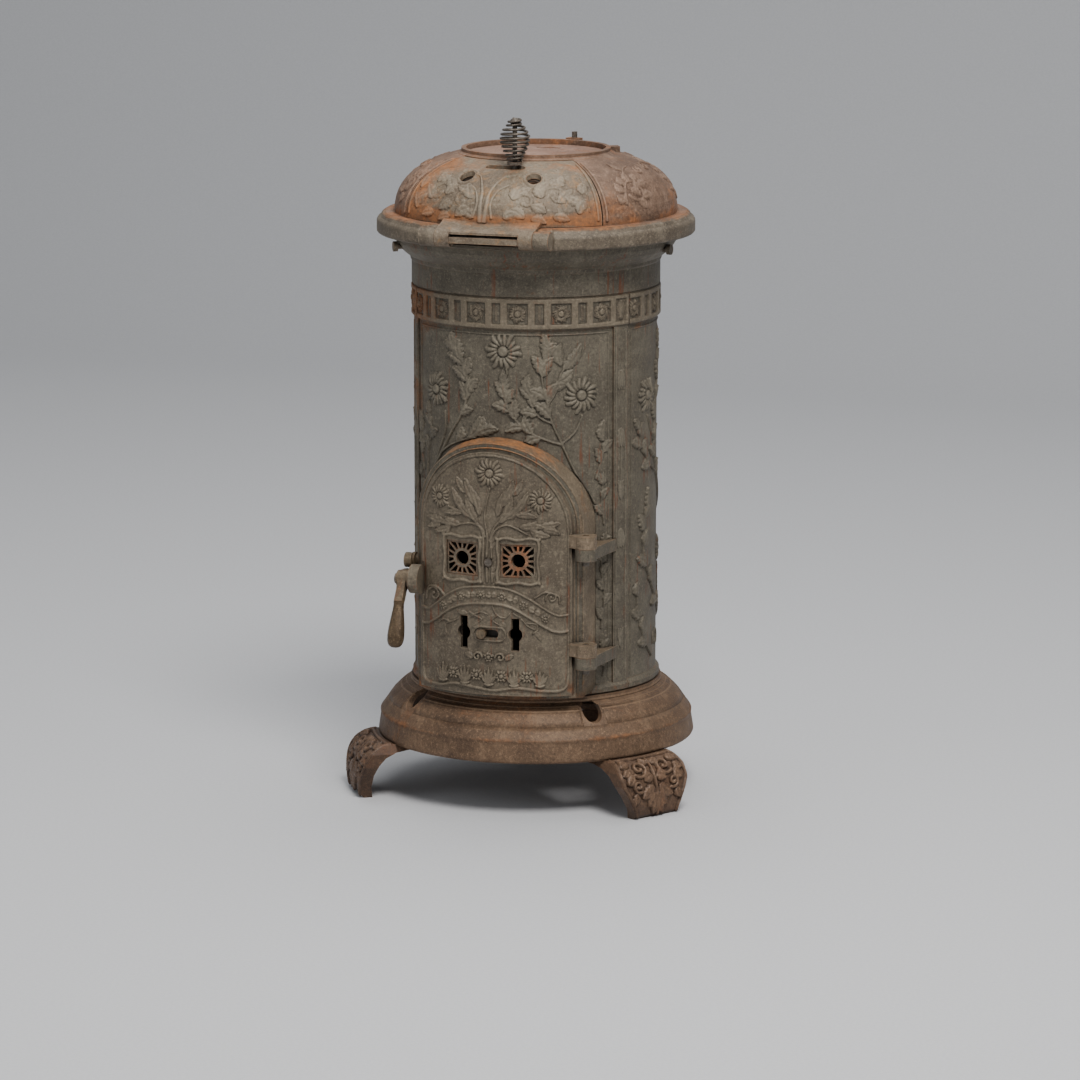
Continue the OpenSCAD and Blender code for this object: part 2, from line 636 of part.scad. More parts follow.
module flue_collar() color("#4e4942") difference() {
    union() {
        intersection() {
            ring(frieze_r + 0.3, frieze_r + 5.5, flue_z - 90, flue_z + 90);
            translate([0, 0, flue_z]) rotate([-90, 0, 0]) cylinder(r = 75, h = 160);
        }
        translate([0, 118, flue_z]) rotate([-90, 0, 0]) cylinder(r = flue_r + 6, h = flue_reach - 118);
    }
    translate([0, 90, flue_z]) rotate([-90, 0, 0]) cylinder(r = flue_r, h = 120);
    flue_bolt_holes(3.1);
}
module flue_bolts() color("#3f3a35") for (s = [-1, 1]) for (t = [-1, 1])
    translate([s * 33, 0, flue_z + t * 57]) rotate([-90, 0, 0]) {
        translate([0, 0, 114]) cylinder(r = 3, h = 22);
        translate([0, 0, 134.4]) cylinder(r = 5.6, h = 4.5, $fn = 6);
    }

base_flange();
foot_front_left();
foot_front_right();
foot_rear();
foot_bolts();
foot_nuts();
hearth_plate();
front_wall();
right_rear_wall();
left_rear_wall();
tie_rods();
tie_rod_nuts();
top_collar();
dome_shell();
dome_screws();
feed_flap();
flap_hinge_pin();
flap_shutter();
shutter_keepers();
handle_stem();
coil_handle();
stem_nut();
cooking_lid();
swing_pivot_pin();
door();
sunburst_grates();
door_liner();
liner_screw();
draft_slide();
draft_knob();
slide_guides();
door_hinge_pins();
latch_handle();
latch_grip();
latch_pin();
latch_keeper();
fire_grate();
grate_ring();
fire_bricks();
ash_pan();
ash_pan_handle();
flue_collar();
flue_bolts();
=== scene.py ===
"""Looks of a cast-iron stove: relief ornament, rust, patina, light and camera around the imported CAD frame."""

import math

import bmesh
import bpy
import numpy as np
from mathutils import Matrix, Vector


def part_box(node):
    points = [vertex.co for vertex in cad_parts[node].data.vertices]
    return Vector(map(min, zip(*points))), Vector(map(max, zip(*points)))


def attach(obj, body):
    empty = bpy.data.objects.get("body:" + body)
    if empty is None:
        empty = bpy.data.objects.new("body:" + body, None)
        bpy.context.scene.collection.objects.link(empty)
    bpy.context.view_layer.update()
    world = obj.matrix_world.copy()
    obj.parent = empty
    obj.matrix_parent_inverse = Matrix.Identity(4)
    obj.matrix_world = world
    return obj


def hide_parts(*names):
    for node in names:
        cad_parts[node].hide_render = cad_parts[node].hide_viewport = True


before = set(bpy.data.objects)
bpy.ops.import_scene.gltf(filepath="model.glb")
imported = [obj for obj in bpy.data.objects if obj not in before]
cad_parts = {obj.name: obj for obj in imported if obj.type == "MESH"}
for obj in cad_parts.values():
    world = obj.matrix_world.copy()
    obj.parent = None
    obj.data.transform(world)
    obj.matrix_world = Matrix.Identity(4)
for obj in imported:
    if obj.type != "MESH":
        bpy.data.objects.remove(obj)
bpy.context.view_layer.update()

MM = 0.001  # sizes below are in millimetres and angles in degrees; a front angle of 0 faces -Y
LEAF_WIDTH = 1.5
SINK = 0.25  # how far the edge of an ornament dips under the surface that it stands on
BACK = 1.0  # thickness of an ornament behind that surface
KEEP = 0.03  # lower parts of a relief are left out of its mesh

# The same sizes as in the CAD part.
BODY_R = 129.5
FRIEZE_R = 131.5
WALL_LOW, WALL_HIGH = (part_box("front_wall")[i].z / MM for i in (0, 1))
FRIEZE_LOW = 516.0
DOOR_R = 157.0
DOOR_LOW, DOOR_HIGH = (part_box("door")[i].z / MM for i in (0, 1))
DOOR_HALF = 84.0
DOOR_SPRING = DOOR_HIGH - DOOR_HALF
FRAME_R = 150.6
DOME_R, DOME_FOOT, DOME_RISE = 151.0, 624.0, 71.5
FLUE_Z, FLANGE_R = 470.0, 75.0
WINDOW_X, WINDOW_Z = 31.0, 275.0
SLOT_X, SLOT_Z = 28.5, 196.0
SLIDE_HALF, SLIDE_TALL = 11, 5  # half the straight part of the slide's slot, and its half height
HINGE_LOWS, HINGE_TALL = (170.5, 286.8), 34.0
HINGE_X, HINGE_Y, DOOR_HINGE_R, WALL_HINGE_R = 78, -50, 158, 132.5
RIM_TOP, RIM_R = 626.2, 153.5
SCREW_Z, LUG_X, LUG_Z = 273, -76, 247
HOLE_R, HOLE_ANGLE, HOLE_RING = 121, 17.5, 10.2  # draught holes in the flap: place and edge ring
STEM_R = 102
BOLT_ANGLES, BOLT_CLEAR, BOLT_TOP = (42, 138), 12.5, 116  # on either side, and the clear patch round each
FOOT_ANGLES = {"foot_front_left": -58.0, "foot_front_right": 58.0, "foot_rear": 180.0}


# ---------- surfaces that carry ornament ----------


class Revolved:
    """Surface round the stove's axis. u is the arc length at radius ref, v the length along the profile."""

    def __init__(self, profile, ref, start=0.0):
        self.points = np.array(profile, float)
        self.ref = ref
        steps = np.hypot(*np.diff(self.points, axis=0).T)
        self.length = start + np.r_[0, np.cumsum(steps)]
        tangent = np.gradient(self.points, self.length, axis=0)
        tangent /= np.linalg.norm(tangent, axis=1)[:, None]
        self.normal = np.c_[tangent[:, 1], -tangent[:, 0]]

    def section(self, v, h):
        """Radius and height of the points that stand h off the profile."""
        line = [np.interp(v, self.length, c) for c in (*self.points.T, *self.normal.T)]
        return line[0] + h * line[2], line[1] + h * line[3]

    def place(self, u, v, h):
        radius, z = self.section(v, h)
        angle = u / self.ref
        return np.stack([radius * np.sin(angle), -radius * np.cos(angle), z], -1) * MM

    def u(self, angle):
        return math.radians(angle) * self.ref

    def at(self, angle, v):
        return self.u(angle), v


class Profiled(Revolved):
    """Straight surface across a foot: u is the way sideways, v the length along the foot's outer profile."""

    def __init__(self, profile, angle):
        super().__init__(profile, 1.0)
        self.angle = math.radians(angle)

    def place(self, u, v, h):
        reach, z = self.section(v, -h)
        s, c = math.sin(self.angle), math.cos(self.angle)
        return np.stack([reach * s + u * c, -reach * c + u * s, z], -1) * MM


def cylinder(radius, low, high):
    return Revolved([(radius, low), (radius, high)], radius, start=low)


def rounded(away, half):
    """Half-round section: 1 on the line, falling to 0 at half away from it."""
    return np.sqrt(np.clip(1 - (away / half) ** 2, 0, None))


def smooth(points, count=10):
    """Catmull-Rom curve through the points."""
    p = np.array(points, float)
    p = np.vstack([2 * p[0] - p[1], p, 2 * p[-1] - p[-2]])
    t = np.linspace(0, 1, count, endpoint=False)[:, None]
    out = []
    for a, b, c, d in zip(p, p[1:], p[2:], p[3:]):
        out.append(b + 0.5 * t * (c - a + t * (2 * a - 5 * b + 4 * c - d + t * (3 * (b - c) + d - a))))
    return np.vstack([*out, p[-2]])


# ---------- a height field that ornament is drawn on ----------


class Relief:
    def __init__(self, surface, u0, u1, v0, v1, step):
        self.surface = surface
        u = np.linspace(u0, u1, max(2, int(round((u1 - u0) / step)) + 1))
        v = np.linspace(v0, v1, max(2, int(round((v1 - v0) / step)) + 1))
        self.u, self.v = np.meshgrid(u, v, indexing="ij")
        self.h = np.zeros_like(self.u)

    def window(self, u0, u1, v0, v1):
        i = np.searchsorted(self.u[:, 0], [u0, u1])
        j = np.searchsorted(self.v[0], [v0, v1])
        return slice(max(i[0] - 1, 0), i[1] + 1), slice(max(j[0] - 1, 0), j[1] + 1)

    def lift(self, where, height):
        self.h[where] = np.maximum(self.h[where], height)

    def stem(self, points, width, end_width=None, height=1.4, count=8, curved=True):
        """Rounded line along a curve, narrowing from width to end_width."""
        line = smooth(points, count) if curved and len(points) > 2 else np.array(points, float)
        end_width = width if end_width is None else end_width
        total = len(line) - 1
        for k, (a, b) in enumerate(zip(line, line[1:])):
            w0 = width + (end_width - width) * k / total
            w1 = width + (end_width - width) * (k + 1) / total
            lo, hi = np.minimum(a, b) - width - 1, np.maximum(a, b) + width + 1
            where = self.window(lo[0], hi[0], lo[1], hi[1])
            x, y = self.u[where] - a[0], self.v[where] - a[1]
            d = b - a
            along = np.clip((x * d[0] + y * d[1]) / max(d @ d, 1e-9), 0, 1)
            away = np.hypot(x - along * d[0], y - along * d[1])
            w = w0 + (w1 - w0) * along
            self.lift(where, height * rounded(away, w))

    def leaf(self, base, tip, width, bend=0.0, lobes=4, height=1.7, notch=0.3):
        """Serrated leaf with a sunken midrib and side veins. bend moves its middle sideways."""
        base, tip = np.array(base, float), np.array(tip, float)
        width = LEAF_WIDTH * width
        axis = tip - base
        length = math.hypot(*axis)
        e = axis / length
        reach = width + abs(bend) + 1
        lo, hi = np.minimum(base, tip) - reach, np.maximum(base, tip) + reach
        where = self.window(lo[0], hi[0], lo[1], hi[1])
        x, y = self.u[where] - base[0], self.v[where] - base[1]
        a = (x * e[0] + y * e[1]) / length
        c = y * e[0] - x * e[1] - 4 * bend * a * (1 - a)
        inside = (a > 0) & (a < 1)
        a = np.clip(a, 0, 1)
        teeth = lobes * (a - 0.3 * np.abs(c) / length)
        outline = np.sin(math.pi * a**0.85) ** 0.7 * (1 - notch
            + notch * np.abs(np.sin(math.pi * teeth)) ** 0.6)
        edge = np.clip(width * outline, 1e-3, None)
        swell = np.clip(1 - (c / edge) ** 2, 0, None) ** 0.4
        veins = 0.93 + 0.07 * np.cos(2 * math.pi * teeth)
        midrib = 1 - 0.3 * np.exp(-((c / 0.9) ** 2)) * (a < 0.9)
        curl = 1 + 0.22 * np.clip(c / edge, -1, 1)
        self.lift(where, np.where(inside, height * swell * veins * midrib * curl, 0))

    def flower(self, centre, r, petals=16, height=2.2, heart=0.3, twist=0.09):
        """Daisy with long narrow petals round a domed heart."""
        cu, cv = centre
        where = self.window(cu - r, cu + r, cv - r, cv + r)
        x, y = self.u[where] - cu, self.v[where] - cv
        rho = np.hypot(x, y) / r
        turn = petals * (np.arctan2(y, x) + twist * np.sin(5.5 * rho + cu)) / (2 * math.pi)
        index = np.floor(turn) % petals
        f = turn - np.floor(turn) - 0.5
        reach = 0.9 + 0.1 * np.sin(2.4 * index + cv)
        t = (rho - heart) / (reach - heart)
        half = 0.52 * (1 - 0.5 * np.clip(t, 0, 1) ** 3)
        across = np.clip(1 - (f / half) ** 2, 0, None) ** 0.4
        rise = 0.5 + 0.5 * np.sin(math.pi * np.clip(t, 0, 1) ** 0.7)
        petal = np.where((t > 0) & (t < 1), height * across * rise, 0)
        disc = np.clip(1 - (rho / (0.92 * heart)) ** 2, 0, None) ** 0.35
        dish = 1 - 0.22 * np.exp(-((rho / (0.45 * heart)) ** 2))
        self.lift(where, np.maximum(petal, 1.25 * height * disc * dish))

    def spray(self, points, leaves, width=1.5, height=1.5):
        """Stem with leaves, each (share of the way along, side, length, lean in degrees, half width)."""
        self.stem(points, width, 0.6 * width, height)
        line = smooth(points, 8)
        for share, side, length, lean, half in leaves:
            i = min(int(share * (len(line) - 1)), len(line) - 2)
            d = line[i + 1] - line[i]
            direction = math.atan2(d[1], d[0]) + side * math.radians(lean)
            tip = line[i] + length * np.array([math.cos(direction), math.sin(direction)])
            self.leaf(line[i], tip, half, bend=-side * 0.12 * length, lobes=max(3, round(length / 6)),
                notch=0.4, height=1.25 * height)

    def scroll(self, centre, r, start, turns, width=1.2, height=1.3):
        """Spiral that winds inwards; turns below 0 wind the other way."""
        t = np.linspace(0, 1, 26)
        angle = math.radians(start) + 2 * math.pi * turns * t
        reach = r * (1 - 0.78 * t)
        line = np.c_[centre[0] + reach * np.cos(angle), centre[1] + reach * np.sin(angle)]
        self.stem(line, width, 0.75 * width, height, curved=False)
        self.stem([line[-1], line[-1] + 0.01], 1.35 * width, height=1.15 * height)

    def piece(self, name, body, slot, material, boost=1.5):
        """Closed mesh of what stands higher than KEEP, riding on a body. boost makes it all deeper."""
        top = self.surface.place(self.u, self.v, self.h * boost - SINK).reshape(-1, 3)
        bottom = self.surface.place(self.u, self.v, -BACK - 0 * self.h).reshape(-1, 3)
        index = np.arange(self.h.size).reshape(self.h.shape)
        quads = np.stack([index[:-1, :-1], index[1:, :-1], index[1:, 1:], index[:-1, 1:]], -1).reshape(-1, 4)
        high = self.h.ravel()
        quads = quads[high[quads].max(1) > KEEP]
        edges = np.concatenate([quads[:, [k, (k + 1) % 4]] for k in range(4)])
        size = self.h.size
        one_way = edges[:, 0] * size + edges[:, 1]
        other_way = edges[:, 1] * size + edges[:, 0]
        rim = edges[~np.isin(one_way, other_way)]
        sides = np.c_[rim[:, 1], rim[:, 0], rim[:, 0] + size, rim[:, 1] + size]
        faces = np.concatenate([quads, quads[:, ::-1] + size, sides])
        used, packed = np.unique(faces, return_inverse=True)
        shown = np.r_[high, np.zeros(size)][used] / max(high.max(), 1e-6)
        return solid(name, np.vstack([top, bottom])[used], packed.reshape(-1, 4), body, material,
            lift=shown)


def solid(name, vertices, faces, body, material, lift=None):
    """Mesh object from arrays, with its body and its material."""
    mesh = bpy.data.meshes.new(name)
    vertices = np.asarray(vertices)
    quads = vertices[np.array([f for f in faces if len(f) == 4])]
    volume = np.einsum("ij,ij->i", quads[:, 0], np.cross(quads[:, 1], quads[:, 2])).sum()
    volume += np.einsum("ij,ij->i", quads[:, 0], np.cross(quads[:, 2], quads[:, 3])).sum()
    step = 1 if volume > 0 else -1
    mesh.from_pydata(vertices.tolist(), [], [list(map(int, f))[::step] for f in faces])
    mesh.update()
    mesh.polygons.foreach_set("use_smooth", [True] * len(mesh.polygons))
    if lift is not None:
        mesh.attributes.new("lift", "FLOAT", "POINT").data.foreach_set("value", np.asarray(lift, np.float32))
    mesh.materials.append(material)
    piece = bpy.data.objects.new(name, mesh)
    bpy.context.scene.collection.objects.link(piece)
    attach(piece, body)
    return piece


def loft(name, rings, body, material, closed_ends=True):
    """Solid through rings of points, each ring with the same number of points."""
    rings = np.asarray(rings, float)
    count, sides = rings.shape[:2]
    index = np.arange(count * sides).reshape(count, sides)
    turned = np.roll(index, -1, axis=1)
    faces = np.stack([index[:-1], turned[:-1], turned[1:], index[1:]], -1).reshape(-1, 4).tolist()
    if closed_ends:
        faces += [index[0, ::-1].tolist(), index[-1].tolist()]
    return solid(name, rings.reshape(-1, 3) * MM, faces, body, material)


# ---------- materials ----------


def tone(r, g, b):
    """Linear colour from sRGB values of 0 to 255."""
    return tuple((c / 12.92 if c <= 0.04045 else ((c + 0.055) / 1.055) ** 2.4) for c in (r / 255, g / 255,
        b / 255)) + (1.0,)


def shade(colour, share):
    """Linear colour from sRGB values that are made darker or lighter by a share."""
    return tone(*[min(255, c * share) for c in colour])


class Graph:
    """Short names for the nodes of one material."""

    def __init__(self, name):
        self.material = bpy.data.materials.new(name)
        self.material.use_nodes = True
        self.tree = self.material.node_tree
        self.tree.nodes.clear()
        self.spot = self.node("ShaderNodeTexCoord").outputs["Object"]

    def node(self, kind, inputs=(), **settings):
        made = self.tree.nodes.new(kind)
        for key, value in settings.items():
            setattr(made, key, value)
        for key, value in dict(inputs).items():
            if isinstance(value, bpy.types.NodeSocket):
                self.tree.links.new(value, made.inputs[key])
            else:
                made.inputs[key].default_value = value
        return made

    def noise(self, scale, detail=4.0, roughness=0.55, distortion=0.0, stretch=None):
        spot = self.spot
        if stretch:
            spot = self.node("ShaderNodeMapping", {"Vector": spot, "Scale": stretch}).outputs["Vector"]
        values = {"Vector": spot, "Scale": scale, "Detail": detail, "Roughness": roughness,
            "Distortion": distortion}
        return self.node("ShaderNodeTexNoise", values).outputs["Fac"]

    def cells(self, scale):
        return self.node("ShaderNodeTexVoronoi", {"Vector": self.spot, "Scale": scale}).outputs["Distance"]

    def math(self, operation, a, b=0.0):
        return self.node("ShaderNodeMath", {0: a, 1: b}, operation=operation).outputs[0]

    def times(self, a, b):
        return self.math("MULTIPLY", a, b)

    def plus(self, a, b):
        return self.math("ADD", a, b)

    def ramp(self, value, low, high, to_low=0.0, to_high=1.0):
        values = {"Value": value, "From Min": low, "From Max": high, "To Min": to_low, "To Max": to_high}
        return self.node("ShaderNodeMapRange", values, clamp=True).outputs["Result"]

    def mix(self, share, a, b, blend="MIX"):
        made = self.node("ShaderNodeMix", {"Factor": share}, data_type="RGBA", blend_type=blend)
        for key, value in ((6, a), (7, b)):
            if isinstance(value, bpy.types.NodeSocket):
                self.tree.links.new(value, made.inputs[key])
            else:
                made.inputs[key].default_value = value
        return made.outputs[2]

    def axis(self, name):
        return self.node("ShaderNodeSeparateXYZ", {0: self.spot}).outputs[name]

    def near(self, value, centre, reach):
        """1 where the value is at the centre, falling to 0 at reach away from it."""
        return self.ramp(self.math("ABSOLUTE", self.math("SUBTRACT", value, centre)), 0.0, reach, 1.0, 0.0)


def iron(name, dark, mid, light, rust=0.35, bands=(), deep=(84, 56, 38), orange=(136, 90, 58), ochre=0.0,
        drips=0.0, chips=0.0, red=0.0, verdigris=False, lift=False, gloss=0.62, metallic=0.25):
    """Old cast iron: mottled grey-brown patina, rust in patches and bands, worn edges, and painted shade in
    corners and crevices.

    bands are (axis, centre, reach, strength) in metres, where rust gathers.
    """
    g = Graph(name)
    broad = g.noise(7, 4, 0.55, 0.4)
    cloud = g.noise(46, 8, 0.65, 0.3)
    fine = g.noise(330, 6, 0.7)
    sand = g.noise(1150, 3, 0.6)
    colour = g.mix(g.ramp(g.plus(broad, g.times(cloud, 0.6)), 0.66, 0.98), tone(*dark), tone(*mid))
    colour = g.mix(g.ramp(cloud, 0.5, 0.76, 0.0, 0.5), colour, tone(*light))
    colour = g.mix(g.ramp(fine, 0.54, 0.72, 0.0, 0.55), colour, shade(light, 1.25))
    colour = g.mix(g.ramp(fine, 0.47, 0.3, 0.0, 0.75), colour, shade(dark, 0.58))
    colour = g.mix(g.ramp(sand, 0.58, 0.7, 0.0, 0.35), colour, shade(light, 1.4))
    if ochre:
        blotch = g.noise(75, 9, 0.72, 0.8)
        colour = g.mix(g.ramp(blotch, 0.6 - 0.1 * ochre, 0.68, 0.0, 0.85 * ochre), colour, tone(158, 116, 70))

    # Rust gathers where the broad noise is high and in the bands, and breaks up at its edges.
    gather = g.plus(g.noise(13, 9, 0.72, 0.7), g.times(g.noise(160, 6, 0.7), 0.22))
    for axis, centre, reach, strength in bands:
        near = g.near(g.axis(axis), centre, reach)
        gather = g.plus(gather, g.times(near, strength))
    edge = 0.98 - 0.42 * rust
    rusty = g.ramp(gather, edge - 0.1, edge + 0.07)
    rust_colour = g.mix(g.ramp(g.noise(120, 8, 0.75), 0.38, 0.62), tone(*deep), tone(*orange))
    rust_colour = g.mix(g.ramp(fine, 0.56, 0.7, 0.0, 0.6), rust_colour, shade(orange, 1.18))
    colour = g.mix(g.times(rusty, g.ramp(fine, 0.28, 0.5, 0.35, 0.92)), colour, rust_colour)

    if drips:
        run = g.ramp(g.noise(1.0, 4, 0.6, stretch=(230, 230, 14)), 0.585, 0.65)
        run = g.times(run, g.ramp(g.noise(17, 3), 0.47, 0.56))
        colour = g.mix(g.times(run, drips), colour, tone(104, 58, 34))

    # Small rust pits all over.
    pits = g.ramp(g.cells(190), 0.16, 0.06)
    pits = g.times(pits, g.ramp(g.noise(38, 5), 0.5, 0.62))
    colour = g.mix(g.times(pits, 0.75), colour, tone(70, 40, 26))

    if lift:
        height = g.node("ShaderNodeAttribute", attribute_name="lift").outputs["Fac"]
        broken = g.ramp(fine, 0.3, 0.7, 0.55, 1.0)
        # Painted shade, with some dirt too: the ornament darkens near its foot, where it meets the wall.
        crease_shade_and_grime = g.times(g.ramp(height, 0.2, 0.02), 0.55)
        colour = g.mix(crease_shade_and_grime, colour, shade(dark, 0.5))
        # Wear with a painted highlight: the high points of the ornament turn lighter.
        worn = g.times(g.ramp(height, 0.42, 0.95, 0.0, 0.4), broken)
        colour = g.mix(worn, colour, shade(light, 1.2))
    else:
        bevel = g.node("ShaderNodeBevel", {"Radius": 0.0012}, samples=4).outputs["Normal"]
        face = g.node("ShaderNodeNewGeometry").outputs["Normal"]
        turn = g.node("ShaderNodeVectorMath", {0: bevel, 1: face}, operation="DOT_PRODUCT").outputs["Value"]
        worn = g.times(g.ramp(turn, 0.98, 0.86, 0.0, 0.75), g.ramp(cloud, 0.36, 0.6))
        edge_colour = g.mix(g.ramp(broad, 0.42, 0.58), shade(light, 1.2), tone(*orange))
        colour = g.mix(worn, colour, edge_colour)
    # Painted shade: the colour darkens in corners and crevices, where the ambient occlusion node finds the
    # surface hemmed in.
    crevice_shade = g.node("ShaderNodeAmbientOcclusion", {"Distance": 0.008}, samples=6).outputs["AO"]
    colour = g.mix(g.ramp(crevice_shade, 0.8, 0.28, 0.0, 0.6), colour, shade(dark, 0.45))

    if chips:
        chip = g.times(g.ramp(g.cells(62), 0.1, 0.07), g.ramp(g.noise(21, 2), 0.66 - 0.1 * chips, 0.7))
        colour = g.mix(chip, colour, tone(205, 198, 186))
    if red:
        fleck = g.times(g.ramp(g.cells(120), 0.2, 0.14), g.ramp(g.noise(17, 3), 0.6, 0.66))
        colour = g.mix(g.times(fleck, red), colour, tone(170, 52, 50))
    if verdigris:
        spot = g.times(g.ramp(g.cells(150), 0.16, 0.1), g.ramp(g.noise(48, 3), 0.54, 0.6))
        high = g.times(g.near(g.axis("Z"), 0.678, 0.016), g.near(g.axis("X"), 0.012, 0.05))
        colour = g.mix(g.times(spot, g.ramp(high, 0.1, 0.3)), colour, tone(92, 148, 122))

    rough = g.ramp(g.plus(fine, g.times(rusty, 0.45)), 0.3, 1.05, gloss - 0.1, gloss + 0.24)
    bumps = g.plus(g.times(fine, 0.75), g.times(sand, 0.35))
    bumps = g.math("SUBTRACT", bumps, g.times(pits, 0.5))
    bumps = g.plus(bumps, g.times(g.times(rusty, cloud), 0.5))
    normal = g.node("ShaderNodeBump", {"Height": bumps, "Strength": 0.55,
        "Distance": 0.0009}).outputs["Normal"]
    values = {"Base Color": colour, "Roughness": rough, "Metallic": metallic, "Normal": normal,
        "Specular IOR Level": 0.42}
    shader = g.node("ShaderNodeBsdfPrincipled", values).outputs["BSDF"]
    g.node("ShaderNodeOutputMaterial", {"Surface": shader})
    return g.material


def iron_pair(name, rust, relief_rust, **look):
    """Material of a casting and material of the ornament that stands on it."""
    return iron(name, rust=rust, **look), iron(name + "_relief", rust=relief_rust, lift=True, **look)


GREY = dict(dark=(78, 71, 60), mid=(94, 87, 74), light=(118, 110, 95))
WARM = dict(dark=(84, 74, 61), mid=(102, 92, 77), light=(128, 117, 99))
BROWN = dict(dark=(78, 59, 44), mid=(104, 81, 61), light=(130, 106, 83))
DOME = dict(dark=(92, 70, 55), mid=(126, 98, 79), light=(146, 122, 104))
FLAP = dict(dark=(92, 78, 64), mid=(122, 108, 90), light=(140, 130, 114))
SOOT = dict(dark=(38, 33, 29), mid=(58, 50, 43), light=(80, 70, 60))
PALE_RUST = dict(deep=(112, 72, 46), orange=(168, 112, 70))
BODY_BANDS = (("Z", 0.127, 0.014, 0.2), ("Z", 0.515, 0.03, 0.12), ("X", -0.105, 0.05, 0.1))
DOOR_BANDS = (("Z", 0.3, 0.03, 0.04), ("Z", 0.137, 0.012, 0.14), ("X", 0.085, 0.01, 0.14))
FLAP_BANDS = (("Z", 0.634, 0.009, 0.34), ("Z", 0.682, 0.012, 0.14), ("X", -0.095, 0.04, 0.26),
    ("X", 0.1, 0.024, 0.2))

iron_body, iron_body_relief = iron_pair("iron_body", 0.3, 0.36, drips=0.75, **GREY, bands=BODY_BANDS)
iron_frieze = iron("iron_frieze", **WARM, rust=0.38, bands=(("X", -0.11, 0.05, 0.4),), lift=True)
iron_door, iron_door_relief = iron_pair("iron_door", 0.3, 0.36, drips=0.75, **WARM, bands=DOOR_BANDS)
iron_grate = iron("iron_grate", **WARM, rust=0.5, bands=(("X", 0.031, 0.03, 0.22),), orange=(170, 96, 50))
iron_arch = iron("iron_arch", dark=(92, 80, 65), mid=(116, 102, 84), light=(142, 127, 106), rust=0.34,
    bands=(("Z", 0.394, 0.03, 0.3), ("X", 0.092, 0.016, 0.08)), orange=(168, 112, 66), deep=(116, 80, 52))
iron_dome = iron("iron_dome", **DOME, rust=0.62, **PALE_RUST, bands=(("Z", 0.628, 0.01, 0.1),))
iron_dome_relief = iron("iron_dome_relief", **DOME, rust=0.62, **PALE_RUST, lift=True)
iron_flap, iron_flap_relief = iron_pair("iron_flap", 0.42, 0.42, **FLAP, bands=FLAP_BANDS, ochre=0.7,
    orange=(164, 108, 66), deep=(122, 84, 58), verdigris=True)
iron_rim = iron("iron_rim", dark=(82, 72, 60), mid=(106, 95, 80), light=(134, 123, 107), rust=0.32,
    red=0.55, bands=(("Z", 0.6262, 0.004, 0.3),), orange=(150, 104, 68))
iron_base = iron("iron_base", **BROWN, rust=0.42, bands=(("Z", 0.084, 0.004, 0.16),
    ("Z", 0.118, 0.008, 0.1)), orange=(142, 96, 62), chips=0.25)
iron_base_relief = iron("iron_base_relief", **BROWN, rust=0.42, orange=(142, 96, 62), lift=True)
FOOT = dict(dark=(70, 52, 40), rust=0.5, deep=(66, 42, 30), orange=(128, 82, 54), chips=0.8)
iron_foot = iron("iron_foot", mid=(96, 73, 56), light=(118, 93, 72), gloss=0.5, **FOOT)
iron_foot_relief = iron("iron_foot_relief", mid=(98, 75, 58), light=(122, 96, 74), gloss=0.48, lift=True,
    **FOOT)
iron_lid = iron("iron_lid", dark=(120, 92, 76), mid=(150, 118, 100), light=(170, 142, 126), rust=0.5,
    **PALE_RUST)
iron_inner = iron("iron_inner", **SOOT, rust=0.34)
iron_latch = iron("iron_latch", dark=(74, 62, 48), mid=(100, 86, 67), light=(128, 114, 92), rust=0.42,
    gloss=0.5)
iron_hinge = iron("iron_hinge", dark=(92, 78, 62), mid=(118, 102, 83), light=(146, 129, 108), rust=0.42)
steel_old = iron("steel_old", dark=(78, 70, 62), mid=(104, 97, 88), light=(146, 140, 131), rust=0.22,
    gloss=0.42, metallic=0.6)
wire_old = iron("wire_old", dark=(64, 57, 50), mid=(94, 86, 77), light=(124, 116, 105), rust=0.26,
    gloss=0.45, metallic=0.45)
brass_worn = iron("brass_worn", dark=(66, 52, 37), mid=(92, 74, 54), light=(122, 104, 80), rust=0.3,
    gloss=0.36, metallic=0.45, orange=(128, 86, 52))
fire_clay = iron("fire_clay", dark=(104, 82, 62), mid=(146, 120, 92), light=(170, 146, 118), rust=0.2,
    gloss=0.8, metallic=0.0)
pan_sheet = iron("pan_sheet", dark=(58, 50, 44), mid=(84, 75, 66), light=(106, 98, 88), rust=0.42, gloss=0.55)

NODE_LOOKS = (
    (iron_base, "base_flange"),
    (iron_foot, "foot_front_left foot_front_right foot_rear"),
    (steel_old, "foot_bolts foot_nuts tie_rods tie_rod_nuts flap_hinge_pin"),
    (steel_old, "stem_nut swing_pivot_pin liner_screw door_hinge_pins latch_pin flue_bolts"),
    (iron_inner, "hearth_plate flap_shutter shutter_keepers door_liner"),
    (iron_inner, "draft_slide slide_guides fire_grate grate_ring"),
    (iron_body, "front_wall right_rear_wall left_rear_wall top_collar flue_collar"),
    (iron_dome, "dome_shell"),
    (iron_rim, "dome_screws"),
    (iron_flap, "feed_flap"),
    (wire_old, "handle_stem coil_handle"),
    (iron_lid, "cooking_lid"),
    (iron_door, "door"),
    (iron_grate, "sunburst_grates"),
    (iron_latch, "draft_knob latch_handle latch_keeper"),
    (brass_worn, "latch_grip"),
    (fire_clay, "fire_bricks"),
    (pan_sheet, "ash_pan ash_pan_handle"),
)
for node_name, look in ((name, look) for look, names in NODE_LOOKS for name in names.split()):
    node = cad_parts[node_name]
    node.data.materials.clear()
    node.data.materials.append(look)
    node.data.polygons.foreach_set("use_smooth", [True] * len(node.data.polygons))

